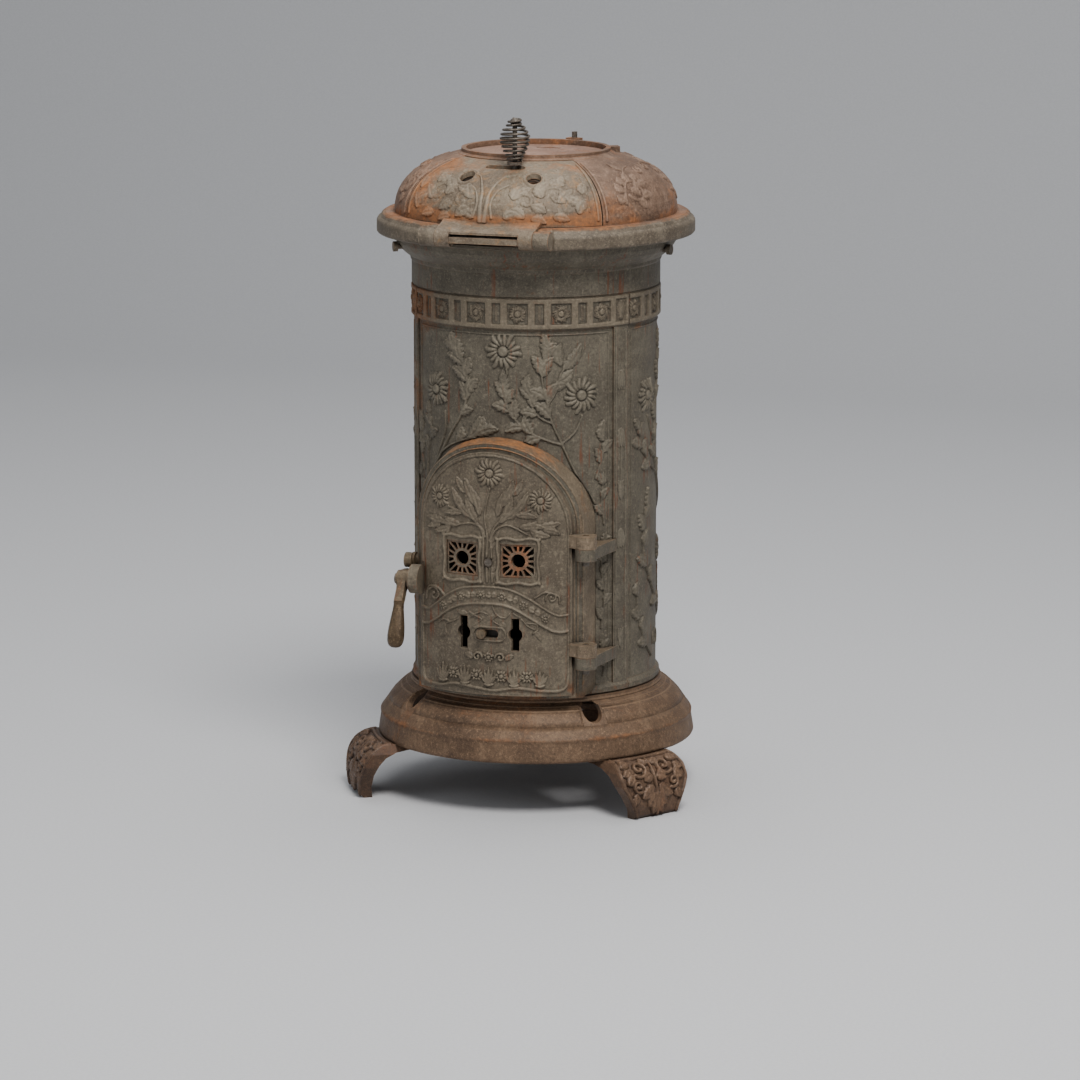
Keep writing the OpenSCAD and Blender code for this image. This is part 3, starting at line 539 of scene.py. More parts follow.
# Arms and knuckles of the door's hinges are paler, from wear.
for node_name in ("front_wall", "door"):
    hinge_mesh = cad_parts[node_name].data
    hinge_mesh.materials.append(iron_hinge)
    least = (WALL_HINGE_R if node_name == "front_wall" else DOOR_HINGE_R) * MM
    for face in hinge_mesh.polygons:
        spot = face.center
        at_hinge = any(low * MM < spot.z < (low + HINGE_TALL) * MM for low in HINGE_LOWS)
        at_side = spot.x > HINGE_X * MM and spot.y < HINGE_Y * MM
        if at_hinge and at_side and math.hypot(spot.x, spot.y) > least:
            face.material_index = 1

# The rim under the dome is less rusty than the dome itself.
dome_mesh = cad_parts["dome_shell"].data
dome_mesh.materials.append(iron_rim)
for face in dome_mesh.polygons:
    if face.center.z < RIM_TOP * MM and math.hypot(face.center.x, face.center.y) > RIM_R * MM:
        face.material_index = 1


# ---------- ornament of the walls ----------


def front_ornament(r):
    """Flowers and leafy branches above and beside the door."""
    at = r.surface.at
    for angle, z, size in ((3, 493, 21), (-35, 446, 20), (40, 446, 21)):
        r.flower(at(angle, z), size, height=2.3)
    # Branch on the right, which forks above the door.
    r.spray([at(47, 330), at(40, 352), at(34, 378), at(30, 398), at(26, 418), at(23.5, 440), at(21, 470),
        at(23, 492)], [(0.62, 1, 24, 34, 5.5), (0.72, -1, 22, 40, 5), (0.74, 1, 20, 48, 5),
        (0.84, -1, 24, 34, 5.5), (0.86, 1, 22, 30, 5), (0.95, -1, 20, 26, 5), (0.99, 1, 24, 20, 5.5),
        (0.99, -1, 18, 30, 4.5)], 2.0, 1.7)
    r.spray([at(31, 394), at(24, 399), at(17, 406), at(11, 416), at(6, 430), at(3.5, 446)],
        [(0.3, 1, 20, 50, 5), (0.42, -1, 22, 34, 5), (0.56, 1, 20, 55, 4.6), (0.68, -1, 22, 42, 5.2),
        (0.8, 1, 20, 44, 5), (0.9, -1, 18, 46, 4.6), (1.0, 1, 20, 14, 5)], 1.8, 1.7)
    r.spray([at(26, 417), at(20, 424), at(16.5, 436), at(15, 452)], [(0.45, 1, 18, 44, 4.6),
        (0.65, -1, 18, 40, 4.8), (0.85, 1, 16, 34, 4.4), (1.0, -1, 20, 12, 5)], 1.5, 1.6)
    r.stem([at(24, 437), at(28, 452), at(30, 470), at(36, 484)], 1.4, 0.9, 1.5)
    for base, tip, half, bend in (((29, 462), (36, 474), 4.8, -2), ((31, 474), (40, 502), 5, -3),
            ((26, 452), (33, 458), 4.2, 2), ((30, 478), (30, 503), 4.6, 3)):
        r.leaf(at(*base), at(*tip), half, bend)
    r.stem([at(31, 396), at(37, 408), at(40.5, 424)], 1.5, 1.2, 1.5)
    r.stem([at(3.5, 462), at(5, 470), at(4, 480)], 1.3, height=1.4)
    r.leaf(at(5, 452), at(3, 474), 4, 2)
    # Branch on the left.
    r.spray([at(-43, 340), at(-38, 358), at(-32, 378), at(-25, 402), at(-18, 426), at(-15, 450),
        at(-17, 474), at(-22, 494)], [(0.56, -1, 16, 40, 4.4), (0.66, 1, 22, 36, 5.4),
        (0.7, -1, 20, 36, 5.2), (0.78, 1, 24, 44, 5.6), (0.82, -1, 20, 30, 5.4), (0.88, 1, 24, 40, 5.4),
        (0.92, -1, 22, 20, 5.4), (0.97, 1, 22, 34, 5), (1.0, -1, 20, 8, 5.4), (1.0, 1, 18, 30, 4.6)], 2.0,
        1.7)
    r.spray([at(-36, 366), at(-31, 380), at(-24, 390), at(-16, 397), at(-9, 403)], [(0.6, 1, 18, 50, 4.8),
        (0.75, -1, 16, 30, 4.2), (0.82, 1, 28, 42, 5.4), (1.0, -1, 26, 4, 5.2), (1.0, 1, 22, 52, 4.8)], 1.8,
        1.6)
    r.stem([at(-40, 350), at(-33, 382), at(-29, 404), at(-29, 424)], 1.5, 1.1, 1.5)
    r.spray([at(-44, 350), at(-43, 376), at(-40, 398), at(-42, 420)], [(0.4, 1, 16, 40, 4),
        (0.6, -1, 16, 40, 4), (0.8, 1, 16, 34, 4), (1.0, -1, 15, 10, 4)], 1.3, 1.4)
    for s, edge in ((1, 51.4), (-1, -51.4)):
        r.spray([at(edge - 4 * s, 356), at(edge - 1.5 * s, 372), at(edge + 0.5 * s, 390), at(edge, 404)],
            [(0.35, s, 18, 38, 4.2), (0.55, -s, 18, 36, 4.4), (0.8, s, 15, 34, 4), (1.0, -s, 16, 10, 4.4)],
            1.4, 1.5)
        # Sprigs that climb beside the door, between the hinges.
        for low, high in ((142, 170), (194, 284), (306, 350)):
            count = int((high - low) / 16)
            line = [at(edge + 0.9 * s * math.sin(0.09 * z), z) for z in np.linspace(low, high, count + 3)]
            leaves = [((k + 0.7) / (count + 0.7), (-1) ** k, 15, 42, 3.8) for k in range(count + 1)]
            r.spray(line, leaves + [(1.0, 1, 14, 8, 3.8)], 1.2, 1.4)


def side_ornament(r, centre):
    """A mirrored pair of branches with three flowers, for a rear wall."""
    at = r.surface.at
    r.flower(at(centre, 486), 20, height=2.2)
    r.stem([at(centre, 330), at(centre + 1.5, 390), at(centre - 1, 430), at(centre, 466)], 1.7, 1.3, 1.5)
    for s in (-1, 1):
        a = lambda angle, z: at(centre + s * angle, z)
        r.flower(a(36.5, 436), 20, height=2.3)
        r.spray([a(3, 300), a(12, 320), a(22, 350), a(27, 384), a(25, 420), a(20, 452), a(18, 486)],
            [(0.3, s, 20, 40, 5), (0.42, -s, 22, 44, 5.2), (0.52, s, 20, 40, 5), (0.62, -s, 22, 40, 5.4),
            (0.72, s, 20, 38, 5), (0.82, -s, 22, 36, 5.4), (0.9, s, 18, 34, 5), (1.0, -s, 20, 12, 5.2)],
            2.0, 1.7)
        r.spray([a(25, 350), a(34, 362), a(42, 382), a(45, 404)], [(0.3, -s, 20, 44, 5),
            (0.5, s, 18, 44, 5), (0.7, -s, 20, 44, 5), (0.85, s, 16, 34, 4.4), (1.0, -s, 15, 20, 4.4)], 1.6,
            1.6)
        r.stem([a(27, 384), a(32, 398), a(36, 414)], 1.4, 1.1, 1.4)
        r.spray([a(2, 180), a(14, 196), a(28, 222), a(38, 256), a(40, 290), a(36, 318)],
            [(0.2, s, 20, 42, 5), (0.32, -s, 22, 44, 5.2), (0.46, s, 20, 40, 5), (0.58, -s, 22, 40, 5.4),
            (0.7, s, 20, 38, 5), (0.82, -s, 22, 36, 5.4), (0.92, s, 18, 34, 5), (1.0, -s, 22, 12, 5.2)],
            1.9, 1.7)
        r.flower(a(14, 262), 15, height=2)
        r.stem([a(6, 186), a(12, 216), a(14, 246)], 1.3, 1.0, 1.3)
        r.scroll(a(22, 166), 12, 200, 1.3 * s, 1.4)
        r.spray([a(30, 150), a(38, 168), a(44, 196), a(46, 224)], [(0.3, -s, 18, 42, 4.6),
            (0.5, s, 16, 42, 4.2), (0.7, -s, 18, 40, 4.6), (1.0, s, 16, 12, 4.4)], 1.5, 1.5)


def strip_ornament(r, centre):
    """Two thin beads and small leaves on a corner strip."""
    at = r.surface.at
    for angle in (58.4, 64.6):
        r.stem([at(centre + angle, 139), at(centre + angle, 512)], 0.9, height=0.8, curved=False)
    for z, up in ((170, 1), (300, -1), (330, 1), (408, -1), (470, -1)):
        for lean in (-2.0, 0.0, 2.0):
            r.leaf(at(centre + 61.5, z), at(centre + 61.5 + 0.8 * lean, z + 22 * up), 2.4, 0.4 * lean, 3, 1.0)
    r.stem([at(centre + 61.5, 330), at(centre + 61.5, 390)], 0.8, height=0.8, curved=False)


def frieze(r, centre):
    """Band of sunk squares with rosettes and narrow sunk panels between them."""
    surface = r.surface
    r.h[:] = 1.5
    ends = np.minimum(surface.u(centre + 66) - r.u, r.u - surface.u(centre - 53.4))
    edge = np.minimum(np.minimum(r.v - r.v.min(), r.v.max() - r.v), ends)
    r.h *= np.clip(edge / 1.2, 0, 1) ** 0.5
    mid = 0.5 * (FRIEZE_LOW + WALL_HIGH)
    for k in range(-5, 6):
        u = surface.u(centre + 10 * k)
        across, high = (11.2, 11.4) if k % 2 else (5.0, 11.4)
        inside = (np.abs(r.u - u) < across) & (np.abs(r.v - mid) < high)
        slope = np.clip((np.maximum(np.abs(r.u - u) - across, np.abs(r.v - mid) - high) + 0.8) / 0.8, 0, 1)
        r.h[inside] = (1.5 * slope)[inside]
        if k % 2:
            r.flower((u, mid), 10.4, petals=16, height=1.5, heart=0.36, twist=0.35)
            r.scroll((u, mid), 3.0, 30, 1.2, 0.8, 1.9)
        else:
            r.stem([(u, mid - 7), (u, mid + 7)], 2.0, height=0.5, curved=False)
    # Leafy block over the corner strip.
    block = surface.u(centre + 61)
    inside = (np.abs(r.u - block) < 8.2) & (np.abs(r.v - mid) < 12.5)
    r.h[inside] = 0.3
    for k in range(5):
        lean = (k - 2) * 3.2
        r.leaf((block, mid - 10), (block + lean, mid + 11 - abs(lean)), 2.6, 0.3 * lean, 4, 1.6)


wall = cylinder(BODY_R, WALL_LOW, WALL_HIGH)
strip = cylinder(FRIEZE_R, WALL_LOW, WALL_HIGH)


def off_flue(r, margin=2.0):
    """Clears what would lie under the flue flange."""
    radius = r.surface.points[0, 0]
    angle = r.u / r.surface.ref
    across = radius * np.sin(angle)
    behind = np.cos(angle) < 0
    near = np.hypot(across, r.v - FLUE_Z) < FLANGE_R + margin
    r.h[near & behind] = 0


for node_name, centre in (("front_wall", 0), ("right_rear_wall", 120), ("left_rear_wall", 240)):
    name = node_name.replace("_wall", "")
    fine = centre == 0
    body = Relief(wall, wall.u(centre - 52.6), wall.u(centre + 56.4), 135, 514.5, 0.8 if fine else 1.1)
    if fine:
        front_ornament(body)
    else:
        side_ornament(body, centre)
    left, right = wall.u(centre - 50.6), wall.u(centre + 54.6)
    body.stem([(left, 139), (left, 511), (right, 511), (right, 139)], 1.1, height=0.9, curved=False)
    off_flue(body)
    if fine:
        arch = np.hypot(BODY_R * np.sin(body.u / wall.ref), np.maximum(body.v - DOOR_SPRING, 0))
        body.h[arch < DOOR_HALF + 12] = 0
    body.piece(name + "_branches", "stove", "body_iron", iron_body_relief)
    corner = Relief(strip, strip.u(centre + 57.2), strip.u(centre + 65.8), 133, 515, 0.6)
    strip_ornament(corner, centre)
    off_flue(corner)
    corner.piece(name + "_strip_beads", "stove", "body_iron", iron_body_relief)
    band = Relief(strip, strip.u(centre - 53.4), strip.u(centre + 65.9), FRIEZE_LOW + 0.6, WALL_HIGH - 0.5,
        0.75)
    frieze(band, centre)
    off_flue(band)
    band.piece(name + "_frieze", "stove", "body_iron", iron_frieze)


# ---------- door ----------


def arch_line(half, low, radius, count=24):
    """Points of the door's outline at a half width, on a cylinder: up one side, over the head and down."""
    turn = np.linspace(0, math.pi, count)
    x = np.r_[half, half * np.cos(turn), -half]
    z = np.r_[low, DOOR_SPRING + half * np.sin(turn), low]
    return np.c_[np.arcsin(np.clip(x / radius, -1, 1)) * radius, z]


door_face = cylinder(DOOR_R, DOOR_LOW, DOOR_HIGH)
door = Relief(door_face, -DOOR_R * 0.565, DOOR_R * 0.565, DOOR_LOW + 1.5, DOOR_HIGH - 1.0, 0.68)
door_at = door_face.at


def wavy_frame(r, x, z, half_w, half_h):
    """Raised frame with wavy sides round a window in the door."""
    t = np.linspace(0, 1, 13)
    wave = 1.3 * np.sin(2 * math.pi * t * 1.5) + 1.6 * np.sin(math.pi * t)
    top = np.c_[x + half_w * (2 * t - 1), z + half_h + wave]
    side = np.c_[x + half_w + 0.9 * np.sin(3 * math.pi * t), z + half_h * (1 - 2 * t)]
    for line in (top, side, np.c_[top[:, 0], 2 * z - top[:, 1]], np.c_[2 * x - side[:, 0], side[:, 1]]):
        u = np.arcsin(line[:, 0] / DOOR_R) * DOOR_R
        r.stem(np.c_[u, line[:, 1]], 1.9, height=1.7, curved=False)
    for sx in (-1, 1):
        for sz in (-1, 1):
            u = math.asin((x + sx * half_w) / DOOR_R) * DOOR_R
            r.stem([(u, z + sz * half_h), (u + sx * 1.5, z + sz * (half_h + 1.2))], 2.1, height=1.7)


def ribbon(r):
    """Long banner with a plain leaf pattern where a maker would put a word."""
    angles = [-31.2, -27.5, -23, -18.5, -11.5, -2, 7.5, 15.5, 22.5, 27, 30.8]
    tops = [216.5, 216, 223.5, 233, 243, 246.5, 245, 235.5, 223, 217, 217.5]
    lows = [199, 200.5, 207, 216, 225, 228.5, 226.5, 215.5, 203.5, 199, 200]
    top = smooth([door_at(a, z) for a, z in zip(angles, tops)])
    low = smooth([door_at(a, z) for a, z in zip(angles, lows)])
    above = np.interp(r.u, top[:, 0], top[:, 1])
    below = np.interp(r.u, low[:, 0], low[:, 1])
    r.lift(slice(None), np.where((r.v < above) & (r.v > below) & (np.abs(r.u) < top[-1, 0]), 0.55, 0.0))
    for line in (top, low):
        r.stem(line, 1.5, height=1.6, curved=False)
    for k in range(-5, 6):
        u = 11.5 * k + 3
        z = 0.5 * (np.interp(u, top[:, 0], top[:, 1]) + np.interp(u, low[:, 0], low[:, 1]))
        slope = np.interp(u + 4, top[:, 0], top[:, 1]) - np.interp(u - 4, top[:, 0], top[:, 1])
        if k % 2:
            r.flower((u, z), 5.2, petals=8, height=1.9, heart=0.4, twist=0)
        else:
            for s in (-1, 1):
                r.leaf((u, z), (u + 6.2 * s, z + 0.75 * s * slope), 2.7, 0.4 * s, 1, 2.1, 0.1)
    r.scroll(door_at(-24.5, 232), 8.5, 150, -1.1, 1.3, 1.4)
    r.stem([door_at(-29, 226), door_at(-27.5, 239), door_at(-23, 240), door_at(-19, 232)], 1.3, height=1.4)
    r.scroll(door_at(24.5, 236), 6.5, 200, -1.2, 1.2, 1.4)
    r.stem([door_at(18, 236), door_at(22, 242), door_at(27, 238), door_at(27.5, 230)], 1.2, height=1.3)


def door_ornament(r):
    a = door_at
    edge = arch_line(DOOR_HALF - 3.2, DOOR_LOW + 13, DOOR_R)
    r.stem(edge, 1.5, height=1.1, curved=False)
    # Flowers and stems in the head.
    r.flower(a(0.4, 368), 17, height=1.9)
    r.flower(a(-21.5, 339), 14, height=1.8)
    r.flower(a(20.2, 340), 14.5, height=1.8)
    for line in ([(-0.6, 252), (-0.8, 276), (-0.5, 300), (-1.6, 322), (-0.6, 338), (0.5, 352)],
            [(-2.4, 252), (-2.2, 282), (-2.2, 300), (-4.2, 312), (-9, 322.5), (-13, 326), (-17.5, 329)],
            [(1.4, 252), (1.2, 282), (0.8, 298), (2.4, 311), (7, 322), (12, 325.5), (16.5, 330)],
            [(-1.4, 300), (-3, 309), (-6.5, 313.5), (-11, 312), (-15, 309)], [(0.6, 296), (3, 308),
            (7, 313.5), (11, 310), (15, 304)]):
        r.stem([a(*p) for p in line], 1.5, 1.1, 1.3)
    for s in (-1, 1):
        buds = (((-4.5, 315), (-9.5, 344), 3.6, 2), ((-7, 320), (-13, 338), 3.6, 2),
            ((-3.5, 322), (-6.5, 350), 3.2, -1), ((-9, 323), (-15.5, 350), 3.4, 2),
            ((-5, 332), (-10, 362), 3.6, 1), ((-9.5, 345), (-13.5, 362), 3.2, 1), ((-11, 324), (-19, 322),
            3.0, -1), ((-12, 311), (-19, 318), 3.2, 2), ((-13, 310), (-22, 311), 3.4, -2),
            ((-16, 309), (-24, 302), 3.4, 2), ((-20, 313), (-28, 316), 3.4, 1), ((-21, 309), (-28, 304),
            3.2, -1), ((-17, 308), (-18, 300), 2.8, -1))
        for base, tip, half, bend in buds:
            r.leaf(a(-s * base[0], base[1]), a(-s * tip[0], tip[1]), half, -s * bend, 3, 1.6)
    for z in (256, 262, 288, 294):
        for s in (-1, 1):
            r.leaf(a(-0.5 + 1.2 * s, z), a(-0.5 + 3.6 * s, z + 7), 1.6, 0, 2, 1.0)
    for s in (-1, 1):
        wavy_frame(r, s * WINDOW_X, WINDOW_Z, 20.8, 22.5)
    ribbon(r)
    # Raised border of the slide's slot, and small scrolls round the air slots.
    slot = [(-10.5, 7.2), (10.5, 7.2), (15.2, 5.2), (17.4, 0), (15.2, -5.2), (10.5, -7.2), (-10.5, -7.2),
        (-15.2, -5.2), (-17.4, 0), (-15.2, 5.2), (-10.5, 7.2)]
    r.stem([(u + 1, SLOT_Z + dz) for u, dz in slot], 1.3, height=1.2, count=4)
    for line in ([(-19, 194), (-18.8, 202), (-15, 207), (-12, 211)], [(-8, 218), (-5, 214), (-3, 211),
            (-5.6, 205)], [(-7, 214), (-3.5, 219), (-0.5, 217)], [(1.4, 226), (3.2, 217), (6.4, 214),
            (8.4, 219)], [(3.4, 217), (1.6, 211), (4.2, 206)], [(9.8, 219), (13, 213), (15.2, 206),
            (18, 202)], [(15, 209), (18.4, 208), (19.2, 202), (17.2, 198)], [(-16.5, 205), (-20, 207),
            (-22, 203)]):
        r.stem([a(*p) for p in line], 1.2, 0.8, 1.1)
    for base, tip in (((-18.8, 197), (-21.5, 188)), ((17.8, 200), (20.5, 190)), ((-4, 206), (-7, 203)),
            ((4, 207), (7, 204)), ((-9, 216), (-13.5, 219))):
        r.leaf(a(*base), a(*tip), 2.4, 1, 2, 1.1)
    # Row of palmettes and rosettes, with a small group above it, in place of lettering.
    for k in range(-4, 5):
        foot_u, foot_v = a(5.0 * k, 142)
        if k % 2:
            r.flower((foot_u, foot_v + 9), 7.6, petals=10, height=2.0, heart=0.36, twist=0)
        else:
            for lean in (-8.5, -4.6, 0.0, 4.6, 8.5):
                r.leaf((foot_u, foot_v), (foot_u + lean, foot_v + 19 - 0.8 * abs(lean)), 1.25, -0.16 * lean,
                    1, 2.2, 0.1)
            r.stem([(foot_u - 4.4, foot_v), (foot_u, foot_v - 1.2), (foot_u + 4.4, foot_v)], 1.5, height=2.0)
    r.flower(a(0, 171), 6.2, petals=8, height=2.0, heart=0.4, twist=0)
    for s in (-1, 1):
        r.scroll(a(4.6 * s, 171), 5.4, 90 + 90 * s, -1.1 * s, 1.5, 1.9)
        r.leaf(a(6.4 * s, 169), a(10 * s, 174), 2.4, 0.5 * s, 1, 1.8, 0.1)
    # Wavy moulding along the bottom with two crescents above the edge.
    low = DOOR_LOW
    wave = [(-30.9, low + 20), (-30.2, low + 10), (-27.5, low + 6), (-20.7, low + 6), (-14.4, low + 9.5),
        (-6, low + 7.5), (2, low + 5.5), (10.7, low + 9), (19, low + 6.5), (26.8, low + 5.5),
        (30, low + 10), (30.9, low + 20)]
    r.stem([a(*p) for p in wave], 1.9, height=1.5)
    for angle in (-15, 10):
        r.stem([a(angle - 4, low + 4.6), a(angle, low + 5.8), a(angle + 4, low + 4.6)], 0.9, 0.5, 0.6)


door_ornament(door)
door_x = DOOR_R * np.sin(door.u / door_face.ref)
outline = np.hypot(door_x, np.maximum(door.v - DOOR_SPRING, 0))
window = (np.abs(np.abs(door_x) - WINDOW_X) < 19) & (np.abs(door.v - WINDOW_Z) < 18.6)
air_slot = (np.abs(np.abs(door_x) - SLOT_X) < 5.6) & (np.abs(door.v - SLOT_Z) < 18.5)
air_slot |= np.hypot(np.abs(door_x) - SLOT_X, door.v - SLOT_Z) < 9
slide_slot = (np.abs(door_x) < SLIDE_HALF) & (np.abs(door.v - SLOT_Z) < SLIDE_TALL)
slide_slot |= np.hypot(np.abs(door_x) - SLIDE_HALF, door.v - SLOT_Z) < SLIDE_TALL
screw = np.hypot(door_x, door.v - SCREW_Z) < 5.5
lug = (door_x < LUG_X) & (np.abs(door.v - LUG_Z) < 17)
for part in (outline > DOOR_HALF - 0.8, window, air_slot, slide_slot, screw, lug):
    door.h[part] = 0
door.piece("door_ornament", "door", "door_iron", iron_door_relief)


# Flared side of the door frame, from its front edge back to the wall, with a bead along the edge.
def frame_line(half, radius, count=40):
    turn = np.linspace(0, math.pi, count)
    x = np.r_[np.full(12, half), half * np.cos(turn), np.full(12, -half)]
    side = np.linspace(DOOR_LOW - 2.5, DOOR_SPRING, 12, endpoint=False)
    z = np.r_[side, DOOR_SPRING + half * np.sin(turn), side[::-1]]
    return np.c_[x, -np.sqrt(radius**2 - x**2), z]


FLARE = [(91.2, 149.6), (91.6, 150.8), (92.4, 150.9), (93.0, 149.6), (93.4, 144.5), (94.2, 138.0),
    (95.4, 131.5), (96.2, 128.0), (91.2, 128.0)]
flare = np.stack([frame_line(half, radius) for half, radius in FLARE], 1)
loft("door_frame_flare", flare, "stove", iron_arch)
BEAD = [(87.6 + 0.8 * math.cos(t), FRAME_R + 0.1 + 0.6 * math.sin(t)) for t in np.linspace(0, 2 * math.pi,
    8, endpoint=False)]
loft("door_frame_bead", np.stack([frame_line(half, radius) for half, radius in BEAD], 1), "stove",
    iron_arch)


# ---------- dome, flap and base ----------


def dome_point(a):
    """Radius and height of the dome's section; a runs from 0 at the top to 90 at the foot."""
    a = math.radians(a)
    return DOME_R * math.sin(a) ** 0.8, DOME_FOOT + DOME_RISE * math.cos(a) ** 0.8


dome = Revolved([dome_point(a) for a in np.linspace(88.6, 31.5, 60)], 132.0)
DOME_LENGTH = dome.length[-1]


def swirl(r, angle, v, size, s):
    """Scrolling leaf, as on the dome's fixed part."""
    u = r.surface.u(angle)
    r.scroll((u, v), 0.5 * size, 200, 0.9 * s, 2.2, 1.3)
    r.stem([(u - 0.75 * size * s, v - 0.5 * size), (u - 0.62 * size * s, v), (u - 0.3 * size * s,
        v + 0.45 * size), (u + 0.2 * size * s, v + 0.46 * size)], 1.8, 1.2, 1.5)
    for dx, dy, ex, ey, half in ((-0.62, 0.0, -0.95, 0.5, 4.4), (-0.45, 0.3, -0.55, 0.85, 4.4),
            (-0.1, 0.47, 0.05, 1.0, 4.6), (0.2, 0.46, 0.62, 0.8, 4.4), (0.3, 0.2, 0.85, 0.3, 4.2),
            (0.2, -0.3, 0.8, -0.3, 4.2), (-0.1, -0.42, 0.2, -0.8, 4), (-0.7, -0.35, -1.1, -0.1, 4.6),
            (-0.3, 0.1, 0.1, -0.25, 4.4), (0.05, 0.1, 0.4, 0.3, 4)):
        r.leaf((u + dx * size * s, v + dy * size), (u + ex * size * s, v + ey * size), half, 2 * s, 4, 1.7)


fixed = Relief(dome, dome.u(47.2), dome.u(312.8), 1.5, DOME_LENGTH - 1, 1.0)
for angle in (47.9, 312.1):
    fixed.stem([(dome.u(angle), 4), (dome.u(angle), DOME_LENGTH - 6)], 1.6, height=1.6, curved=False)
for k, angle in enumerate((71, 104, 137, 170, 203, 236, 269, 302)):
    s = 1 if k % 2 == 0 else -1
    swirl(fixed, angle - 4 * s, 33, 26, s)
    fixed.scroll((dome.u(angle + 10 * s), 62), 8, 30, -1.2 * s, 1.6, 1.4)
    fixed.stem([(dome.u(angle - 8 * s), 50), (dome.u(angle), 66), (dome.u(angle + 6 * s), 70)], 1.6, 1.1, 1.4)
    fixed.leaf((dome.u(angle), 64), (dome.u(angle - 6 * s), 80), 4, 2 * s, 4, 1.5)
fixed.piece("dome_scrolls", "stove", "dome_iron", iron_dome_relief, boost=1.0)

flap = Relief(dome, dome.u(-44.9), dome.u(44.9), 2.5, DOME_LENGTH - 1.5, 0.75)
for s in (-1, 1):
    edge = dome.u(44.0 * s)
    flap.stem([(edge, 5), (edge, DOME_LENGTH - 8)], 1.5, height=1.4, curved=False)
    flap.stem([(dome.u(40.5 * s), 14), (dome.u(40.5 * s), 52), (dome.u(38 * s), 66), (dome.u(30 * s), 74)],
        1.0, height=0.7)
    # Trunks that rise at the middle and lean outwards, with scrolls spreading beside them.
    flap.stem([(2.2 * s - 8, 4), (3 * s - 8, 20), (4 * s - 8, 36), (9 * s - 8, 50)], 2.6, 1.6, 1.8)
    flap.stem([(9 * s - 8, 8), (7 * s - 8, 24), (12 * s - 8, 38), (22 * s - 8, 46)], 1.7, 1.1, 1.5)
    flap.stem([(9 * s - 8, 50), (16 * s - 8, 60), (27 * s - 8, 62)], 1.6, 1.0, 1.5)
    for cu, cv, size, start in ((32, 26, 11, 160), (62, 32, 13, 120), (46, 54, 9, 200), (84, 22, 9, 90)):
        flap.scroll((s * cu, cv), size, 90 + s * (start - 90), -0.8 * s, 2.4, 1.0)
    for base, tip, half in (((14, 8), (26, 14), 4.2), ((24, 34), (40, 42), 4.6), ((40, 22), (54, 14), 4.6),
            ((46, 38), (60, 52), 4.8), ((66, 24), (82, 40), 4.8), ((60, 10), (76, 6), 4),
            ((34, 60), (50, 66), 4.4), ((70, 44), (76, 62), 4.4), ((84, 12), (94, 28), 4),
            ((20, 18), (34, 8), 5), ((22, 28), (30, 46), 5), ((50, 30), (48, 50), 5),
            ((60, 46), (72, 54), 5), ((90, 34), (98, 50), 4.6), ((74, 30), (90, 20), 5),
            ((40, 8), (54, 3), 4.4)):
        flap.leaf((s * base[0] - 2, base[1]), (s * tip[0] - 2, tip[1]), half, 1.5 * s, 4, 1.6)
radius = dome.section(flap.v, 0)[0]
angle = flap.u / dome.ref
for hole in (-HOLE_ANGLE, HOLE_ANGLE):
    hole = math.radians(hole)
    gap = np.hypot(radius * np.sin(angle) - HOLE_R * math.sin(hole),
        radius * np.cos(angle) - HOLE_R * math.cos(hole))
    flap.h[gap < HOLE_RING - 1] = 0
    flap.lift(slice(None), 0.8 * rounded(gap - HOLE_RING, 1.4))
flap.h[(np.abs(radius - STEM_R) < 9.5) & (np.abs(np.degrees(angle)) < 15)] = 0
flap.piece("flap_scrolls", "feed_flap", "flap_iron", iron_flap_relief, boost=1.0)


def skin(name, profile, low, high, body, material):
    """Thin round shell over the outer face of a casting, between two angles."""
    line = np.array(profile, float)
    away = np.gradient(line, axis=0)
    away /= np.hypot(away[:, :1], away[:, 1:])
    normal = np.c_[away[:, 1], -away[:, 0]]
    section = np.vstack([line + 0.3 * normal, (line - 1.2 * normal)[::-1]])
    angles = np.radians(np.linspace(low, high, max(4, int(high - low)) + 1))
    whole = high - low >= 360
    if whole:
        angles = angles[:-1]
    shell = np.array([[(r * math.sin(t), -r * math.cos(t), z) for r, z in section] for t in angles])
    if whole:
        shell = np.vstack([shell, shell[:1]])
    made = loft(name, shell, body, material, closed_ends=not whole)
    if whole:
        mesh = bmesh.new()
        mesh.from_mesh(made.data)
        bmesh.ops.remove_doubles(mesh, verts=mesh.verts, dist=1e-6)
        mesh.to_mesh(made.data)
        mesh.free()


BELL = [(168.5, 84.2), (166.5, 86), (163, 91), (159.5, 96.5), (155, 102.5), (149.5, 108), (143.5, 113)]
skin("base_edge_skin", [(169.9, 60.6), (170.5, 62), (170.4, 64), (167.9, 79.5), (167.8, 81), (168.4, 82.6),
    (168.4, 83.6), (167.6, 85), (166.5, 86.4), (163, 91.2), (159.5, 96.4)], 0, 360, "stove",
    iron_base)
for k, (low, high) in enumerate(((-37, 37), (47, 133), (143, 217), (227, 313))):
    skin("base_bell_skin_%d" % k, BELL[3:], low, high, "stove", iron_base)
skin("rim_skin", [(168.6, 605.1), (169.5, 606.2), (169.6, 608), (169.6, 616), (169.4, 617.6), (168, 619.9),
    (165.8, 620.9), (165.2, 621.5), (164.2, 624.2), (163.4, 624.8), (160.8, 626.3)], 24.4, 335.6, "stove",
    iron_rim)

